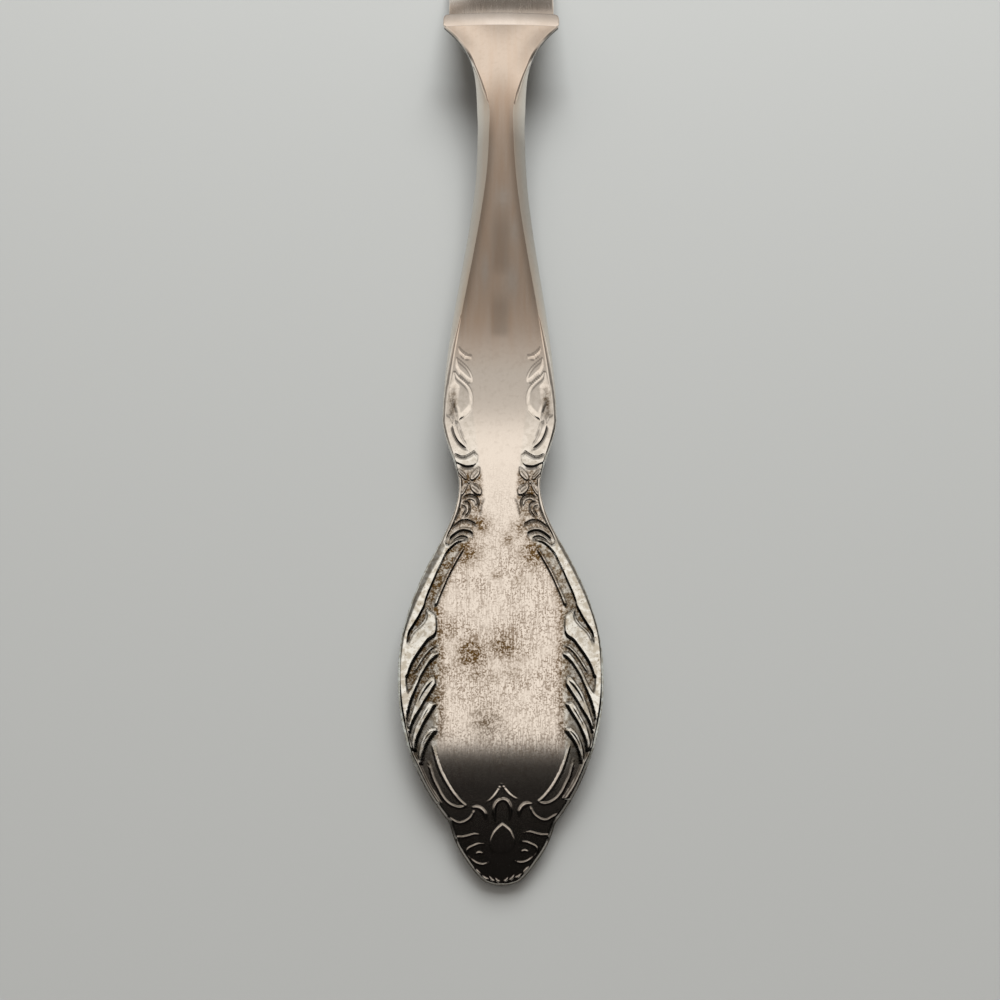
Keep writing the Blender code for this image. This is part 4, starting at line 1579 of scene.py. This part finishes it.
@dataclass
class Blade:
    """The cranked blade with its tang, in millimetres from its heel."""

    heel_gap: float = 0.1
    heel_width: float = 15.0
    belly_width: float = 18.2
    belly_place: float = 38.0
    point_width: float = 1.4
    point_offset: float = 4.6
    thickness: float = 1.4
    edge_thickness: float = 0.6
    grind_width: float = 4.5
    corner: float = 0.3
    crank_start: float = 1.5
    crank_length: float = 20.0
    rounding: float = 2.6
    rows: int = 160
    row_bunching: float = 0.35
    section_steps: int = 5
    sharp_angle: float = 35.0
    tang_width: float = 3.6
    tang_thickness: float = 1.1
    tang_root: float = 2.0
    tang_bevel: float = 0.15
    tang_bevel_steps: int = 2
    finish: PlainSilver = field(default_factory=lambda: PlainSilver("blade_silver_plate"))

    def section(self, past_heel: float, length: float, joint_height: float) -> np.ndarray:
        """Draws the blade's section at one place.

        Args:
            past_heel: Distance of the section from the heel.
            length: Length of the blade past its heel.
            joint_height: Height of the joint's middle over the table.

        Returns:
            Places across and up of the section's points, as a ring.
        """
        if past_heel <= self.belly_place:
            share = smoothstep(np.array(past_heel / self.belly_place))
            middle, half = 0.0, (self.heel_width + (self.belly_width - self.heel_width) * share) / 2
        else:
            share = (past_heel - self.belly_place) / (length - self.belly_place)
            round_off = math.sqrt(max(1.0 - share**self.rounding, 0.0))
            middle = self.point_offset * share * share
            half = (self.point_width + (self.belly_width - self.point_width) * round_off) / 2
        drop = smoothstep(np.array((past_heel - self.crank_start) / self.crank_length))
        bottom = (joint_height - self.thickness / 2) * (1.0 - drop)
        corner = min(self.corner, float(half) / 3)
        grind = min(self.grind_width, float(half))
        left, right = middle - half, middle + half
        turn = np.linspace(0.0, math.pi / 2, self.section_steps)
        points = []
        for up, start in ((corner, -math.pi / 2), (self.thickness - corner, 0.0)):
            for angle in turn + start:
                points.append((right - corner + corner * math.cos(angle), up + corner * math.sin(angle)))
        points.append((left + grind, self.thickness))
        edge = self.edge_thickness / 2
        for angle in turn * 2 + math.pi / 2:
            points.append((left + edge + edge * math.cos(angle), edge + edge * math.sin(angle)))
        ring = np.array(points)
        ring[:, 1] += bottom
        return ring

    def build_tang(self, start: float, end: float, height: float) -> bpy.types.Object:
        """Makes the flat tang.

        Args:
            start: Place of its end in the handle, along Y in metres.
            end: Place of its root in the blade, along Y in metres.
            height: Height of its middle, in metres.

        Returns:
            The tang.
        """
        deselect_all()
        bpy.ops.mesh.primitive_cube_add(size=1.0, location=(0.0, (start + end) / 2, height))
        tang = bpy.context.object
        bpy.ops.transform.resize(value=(self.tang_width * MM, end - start, self.tang_thickness * MM))
        bpy.ops.object.transform_apply(location=True, rotation=True, scale=True)
        bevel = tang.modifiers.new("worn_edges", "BEVEL")
        bevel.width = self.tang_bevel * MM
        bevel.segments = self.tang_bevel_steps
        bpy.ops.object.modifier_apply(modifier=bevel.name)
        return tang

    def build(self) -> bpy.types.Object:
        """Makes the blade's mesh, with the tang joined to its heel.

        Returns:
            The piece.
        """
        low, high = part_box("blade")
        collar_low, collar_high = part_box("collar")
        heel = collar_high.y + self.heel_gap * MM
        length = (high.y - heel) / MM
        joint_height = (collar_low.z + collar_high.z) / 2 / MM
        share = np.linspace(0.0, 1.0, self.rows)
        places = length * (share + self.row_bunching * np.sin(math.pi * share) / math.pi)
        rings = []
        for place in places:
            ring = self.section(place, length, joint_height)
            rings.append([(across * MM, heel + place * MM, up * MM) for across, up in ring])
        blade = tube_from_rings("cranked_blade", np.array(rings), {}, self.sharp_angle)
        self.build_tang(low.y, heel + self.tang_root * MM, joint_height * MM)
        blade.select_set(True)
        bpy.context.view_layer.objects.active = blade
        bpy.ops.object.join()
        return blade

    def dress(self, piece: bpy.types.Object) -> None:
        """Gives the blade its plain silver."""
        finish_piece(piece, self.finish.build(), ("blade",))


@dataclass
class Collar:
    """The straight bar between handle and blade, thinned below towards its ends, in millimetres."""

    thin_width: float = 7.0
    thin_drop: float = 3.0
    thin_power: float = 1.3
    crown: float = 0.3
    fall: float = 0.05
    ridge: float = 0.7
    corner: float = 0.7
    edge_radius: float = 0.08
    columns: int = 40
    rows: int = 12
    sharp_angle: float = 50.0
    # Painted light: the collar's plate is drawn lighter than the blade's, standing in for the light it
    # catches.
    finish: PlainSilver = field(
        default_factory=lambda: PlainSilver("collar_silver_plate_painted_lighter", "#F2EBE3", "#E2D7CB", 0.07, 0.05)
    )

    def build(self) -> bpy.types.Object:
        """Makes the bar, with round corners and softened edges.

        Returns:
            The piece.
        """
        low, high = (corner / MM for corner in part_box("collar"))
        length = high.y - low.y
        turn = np.linspace(0.0, math.pi / 2, self.rows)
        near = self.corner * (1.0 - np.cos(turn))
        middle = np.linspace(self.corner, length - self.corner, self.rows)[1:-1]
        rings = []
        for place in np.concatenate([near, middle, length - near[::-1]]):
            inset = min(place, length - place)
            short = 1.0 - min(inset / self.corner, 1.0)
            half = high.x - self.corner * (1.0 - math.sqrt(1.0 - short * short))
            near_edge = 1.0 - min(inset / self.edge_radius, 1.0)
            soft = self.edge_radius * (1.0 - math.sqrt(1.0 - near_edge * near_edge))
            across = half * np.sin(np.linspace(-math.pi / 2, math.pi / 2, self.columns))
            edge = 1.0 - np.clip((half - np.abs(across)) / self.edge_radius, 0.0, 1.0)
            thin = 1.0 - np.clip((high.x - np.abs(across)) / self.thin_width, 0.0, 1.0)
            lowered = self.fall * (place / length - self.ridge) ** 2 + self.crown * (across / high.x) ** 2
            top = high.z - soft - lowered - self.edge_radius * (1.0 - np.sqrt(1.0 - edge * edge))
            bottom = low.z + soft + self.thin_drop * thin**self.thin_power
            ring = np.concatenate([np.stack([across, top], -1), np.stack([across, bottom], -1)[::-1]])
            rings.append([(x * MM, (low.y + place) * MM, z * MM) for x, z in ring])
        return tube_from_rings("collar_bar", np.array(rings), {}, self.sharp_angle)

    def dress(self, piece: bpy.types.Object) -> None:
        """Gives the collar its plain silver."""
        finish_piece(piece, self.finish.build(), ("collar",))


@dataclass(frozen=True)
class JointMetal:
    """Bare metal inside the joint: drawn nickel silver pins and run solder."""

    # To the eye: a dull grey with an uneven sheen, as drawing and running leave it.
    name: str
    tone: str
    roughness: float
    rough_spread: float = 0.1
    grain_size: float = 0.2

    def build(self) -> bpy.types.Material:
        """Makes the material.

        Returns:
            The material.
        """
        material = bpy.data.materials.new(self.name)
        material.use_nodes = True
        tree = material.node_tree
        place = add_node(tree, "ShaderNodeTexCoord", {}, "Object")
        inputs = {"Vector": place, "Scale": 1 / (self.grain_size * MM)}
        grain = add_node(tree, "ShaderNodeTexNoise", inputs)
        low, high = self.roughness - self.rough_spread, self.roughness + self.rough_spread
        rough = add_node(tree, "ShaderNodeMapRange", {"Value": grain, "To Min": low, "To Max": high})
        shader = tree.nodes["Principled BSDF"]
        shader.inputs["Base Color"].default_value = linear(self.tone)
        shader.inputs["Metallic"].default_value = 1.0
        tree.links.new(rough, shader.inputs["Roughness"])
        return material


@dataclass
class TangJoint:
    """The pins and the solder that stay as CAD nodes, inside the handle."""

    finishes: dict[str, JointMetal] = field(
        default_factory=lambda: {
            "tang_solder": JointMetal("run_hard_solder", "#B9B4AA", 0.5),
            "rear_tang_pin": JointMetal("drawn_nickel_silver_rear", "#C2B8A3", 0.4),
            "front_tang_pin": JointMetal("drawn_nickel_silver_front", "#C2B8A3", 0.4),
        }
    )

    def dress(self) -> None:
        """Gives each piece its bare metal."""
        for name, metal in self.finishes.items():
            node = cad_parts[name]
            node.data.materials.clear()
            node.data.materials.append(metal.build())
            LOG.info("%s: CAD node in %s", name, metal.name)


@dataclass
class Studio:
    """Floor, light tent, lamp and camera.

    The tent's levels are given by the angle in degrees from the back, over the top, to the front, and by the
    share of a direction that points sideways. The backdrop's are given by the share that points up.
    """

    floor_tone: str = "#B4B7B6"
    floor_size: float = 3.0
    floor_gap: float = 0.02
    floor_roughness: float = 0.9
    tent_tone: str = "#FFF6EE"
    tent_strength: float = 1.0
    background_tone: str = "#E6E6E3"
    half_turn: float = 180.0
    overhead: Points = (
        (0.0, 0.18), (34.0, 0.2), (39.0, 0.6), (41.0, 1.02), (43.5, 1.03), (46.0, 0.72), (48.5, 0.54),
        (51.0, 0.42), (54.5, 0.36), (59.0, 0.31), (64.6, 0.29), (65.6, 0.5), (68.0, 0.56), (70.8, 0.65),
        (72.0, 0.92), (72.8, 1.05), (96.8, 1.05), (97.4, 0.6), (97.9, 0.13), (99.2, 0.04), (103.0, 0.015),
        (165.0, 0.015), (180.0, 0.15),
    )
    overhead_sides: Points = ((-1.0, 0.3), (-0.78, 0.28), (-0.5, 1.0), (0.5, 1.0), (0.75, 0.08), (1.0, 0.08))
    flank: Points = (
        (0.0, 0.5), (14.0, 0.5), (20.0, 0.2), (46.0, 0.22), (52.0, 0.6), (66.0, 0.6), (73.0, 0.0),
    )
    flank_sides: Points = ((0.12, 0.0), (0.35, 1.0), (0.84, 1.0), (0.93, 0.1))
    backdrop_heights: Points = ((0.05, 1.0), (0.08, 0.0))
    lamp_size: float = 0.32
    lamp_place: tuple[float, float, float] = (0.03, 0.28, 0.35)
    lamp_power: float = 2.5
    camera_from_tip: tuple[float, float, float] = (-0.17, 10.104, 88.607)
    camera_elevation: float = 70.3
    camera_near: float = 1.0
    camera_far: float = 10000.0
    focal_pixels: float = 780.0
    image_pixels: float = 1000.0
    sensor: float = 36.0

    def build_floor(self) -> None:
        """Lays the pale floor of matt card under the knife."""
        deselect_all()
        place = (0.0, 0.0, CAD_BOX[0].z - self.floor_gap * MM)
        bpy.ops.mesh.primitive_plane_add(size=self.floor_size, location=place)
        floor = bpy.context.object
        floor.name = "floor"
        # To the eye: an even pale grey without gloss, which takes soft shadows.
        material = bpy.data.materials.new("matt_card")
        material.use_nodes = True
        shader = material.node_tree.nodes["Principled BSDF"]
        shader.inputs["Base Color"].default_value = linear(self.floor_tone)
        shader.inputs["Roughness"].default_value = self.floor_roughness
        floor.data.materials.append(material)

    def build_tent(self) -> None:
        """Makes the light tent: bright overhead and behind, with a dark gap and a dark front.

        Cameras see a plain backdrop in its place, and metal sees that backdrop low down at the horizon.
        """
        world = bpy.data.worlds.new("light_tent")
        bpy.context.scene.world = world
        world.use_nodes = True
        tree = world.node_tree
        direction = add_node(tree, "ShaderNodeTexCoord", {}, "Generated")
        x, y, z = add_node(tree, "ShaderNodeSeparateXYZ", {"Vector": direction}).node.outputs
        turn = add_node(tree, "ShaderNodeMath", {0: z, 1: y}, operation="ARCTAN2")
        angle = add_node(tree, "ShaderNodeMath", {0: turn, 1: math.pi}, operation="DIVIDE")
        sideways = add_node(tree, "ShaderNodeMath", {0: x}, operation="ABSOLUTE")
        side = add_node(tree, "ShaderNodeMapRange", {"Value": x, "From Min": -1.0, "From Max": 1.0})
        ramps = (
            ("overhead", angle, [(place / self.half_turn, level) for place, level in self.overhead]),
            ("overhead_sides", side, [((place + 1.0) / 2.0, level) for place, level in self.overhead_sides]),
            ("flank", angle, [(place / self.half_turn, level) for place, level in self.flank]),
            ("flank_sides", sideways, self.flank_sides),
            ("backdrop", z, self.backdrop_heights),
        )
        levels = {}
        for name, value, stops in ramps:
            levels[name] = add_node(tree, "ShaderNodeValToRGB", {"Fac": value})
            elements = levels[name].node.color_ramp.elements
            while len(elements) < len(stops):
                elements.new(1.0)
            for element, (place, level) in zip(elements, stops):
                element.position = place
                element.color = (level, level, level, 1.0)
        inputs = {0: levels["overhead"], 1: levels["overhead_sides"]}
        level = add_node(tree, "ShaderNodeMath", inputs, operation="MULTIPLY")
        inputs = {0: levels["flank"], 1: levels["flank_sides"], 2: level}
        level = add_node(tree, "ShaderNodeMath", inputs, operation="MULTIPLY_ADD")
        inputs = {0: linear(self.tent_tone)[:3], "Scale": level}
        tent = add_node(tree, "ShaderNodeVectorMath", inputs, operation="SCALE")
        rays = add_node(tree, "ShaderNodeLightPath", {}).node.outputs
        inputs = {0: rays["Is Glossy Ray"], 1: rays["Is Transmission Ray"]}
        mirrored = add_node(tree, "ShaderNodeMath", inputs, operation="ADD")
        inputs = {0: mirrored, 1: levels["backdrop"], 2: rays["Is Camera Ray"]}
        shown = add_node(tree, "ShaderNodeMath", inputs, operation="MULTIPLY_ADD", use_clamp=True)
        # A vector mix takes its share at input 0 and its two vectors at 4 and 5, and gives its result at 1.
        inputs = {0: shown, 4: tent, 5: linear(self.background_tone)[:3]}
        light = add_node(tree, "ShaderNodeMix", inputs, 1, data_type="VECTOR")
        background = tree.nodes["Background"]
        background.inputs["Strength"].default_value = self.tent_strength
        tree.links.new(light, background.inputs["Color"])

    def build_lamp(self) -> None:
        """Hangs a soft lamp over the floor, which metal mirrors as part of the tent and not twice."""
        data = bpy.data.lights.new("softbox", "AREA")
        data.size = self.lamp_size
        data.energy = self.lamp_power
        lamp = bpy.data.objects.new("softbox", data)
        lamp.location = self.lamp_place
        lamp.rotation_euler = (-lamp.location).to_track_quat("-Z", "Y").to_euler()
        lamp.visible_glossy = False
        bpy.context.scene.collection.objects.link(lamp)

    def build_camera(self) -> None:
        """Sets the camera where the photograph was taken from."""
        data = bpy.data.cameras.new("camera")
        camera = bpy.data.objects.new("camera", data)
        bpy.context.scene.collection.objects.link(camera)
        bpy.context.scene.camera = camera
        across, along, up = self.camera_from_tip
        camera.location = (across * MM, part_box("handle")[0].y + along * MM, up * MM)
        camera.rotation_euler = (math.radians(90.0 - self.camera_elevation), 0.0, 0.0)
        data.sensor_width = self.sensor
        data.lens = self.focal_pixels / self.image_pixels * self.sensor
        data.clip_start = self.camera_near * MM
        data.clip_end = self.camera_far * MM


def main() -> None:
    """Builds and dresses the knife's pieces, then the studio."""
    logging.basicConfig(level=logging.INFO, format="%(name)s %(message)s")
    bpy.context.scene.view_settings.view_transform = "Standard"
    for assembly in (Handle(), Collar(), Blade()):
        assembly.dress(assembly.build())
    TangJoint().dress()
    studio = Studio()
    studio.build_floor()
    studio.build_tent()
    studio.build_lamp()
    studio.build_camera()


if __name__ == "__main__":
    main()
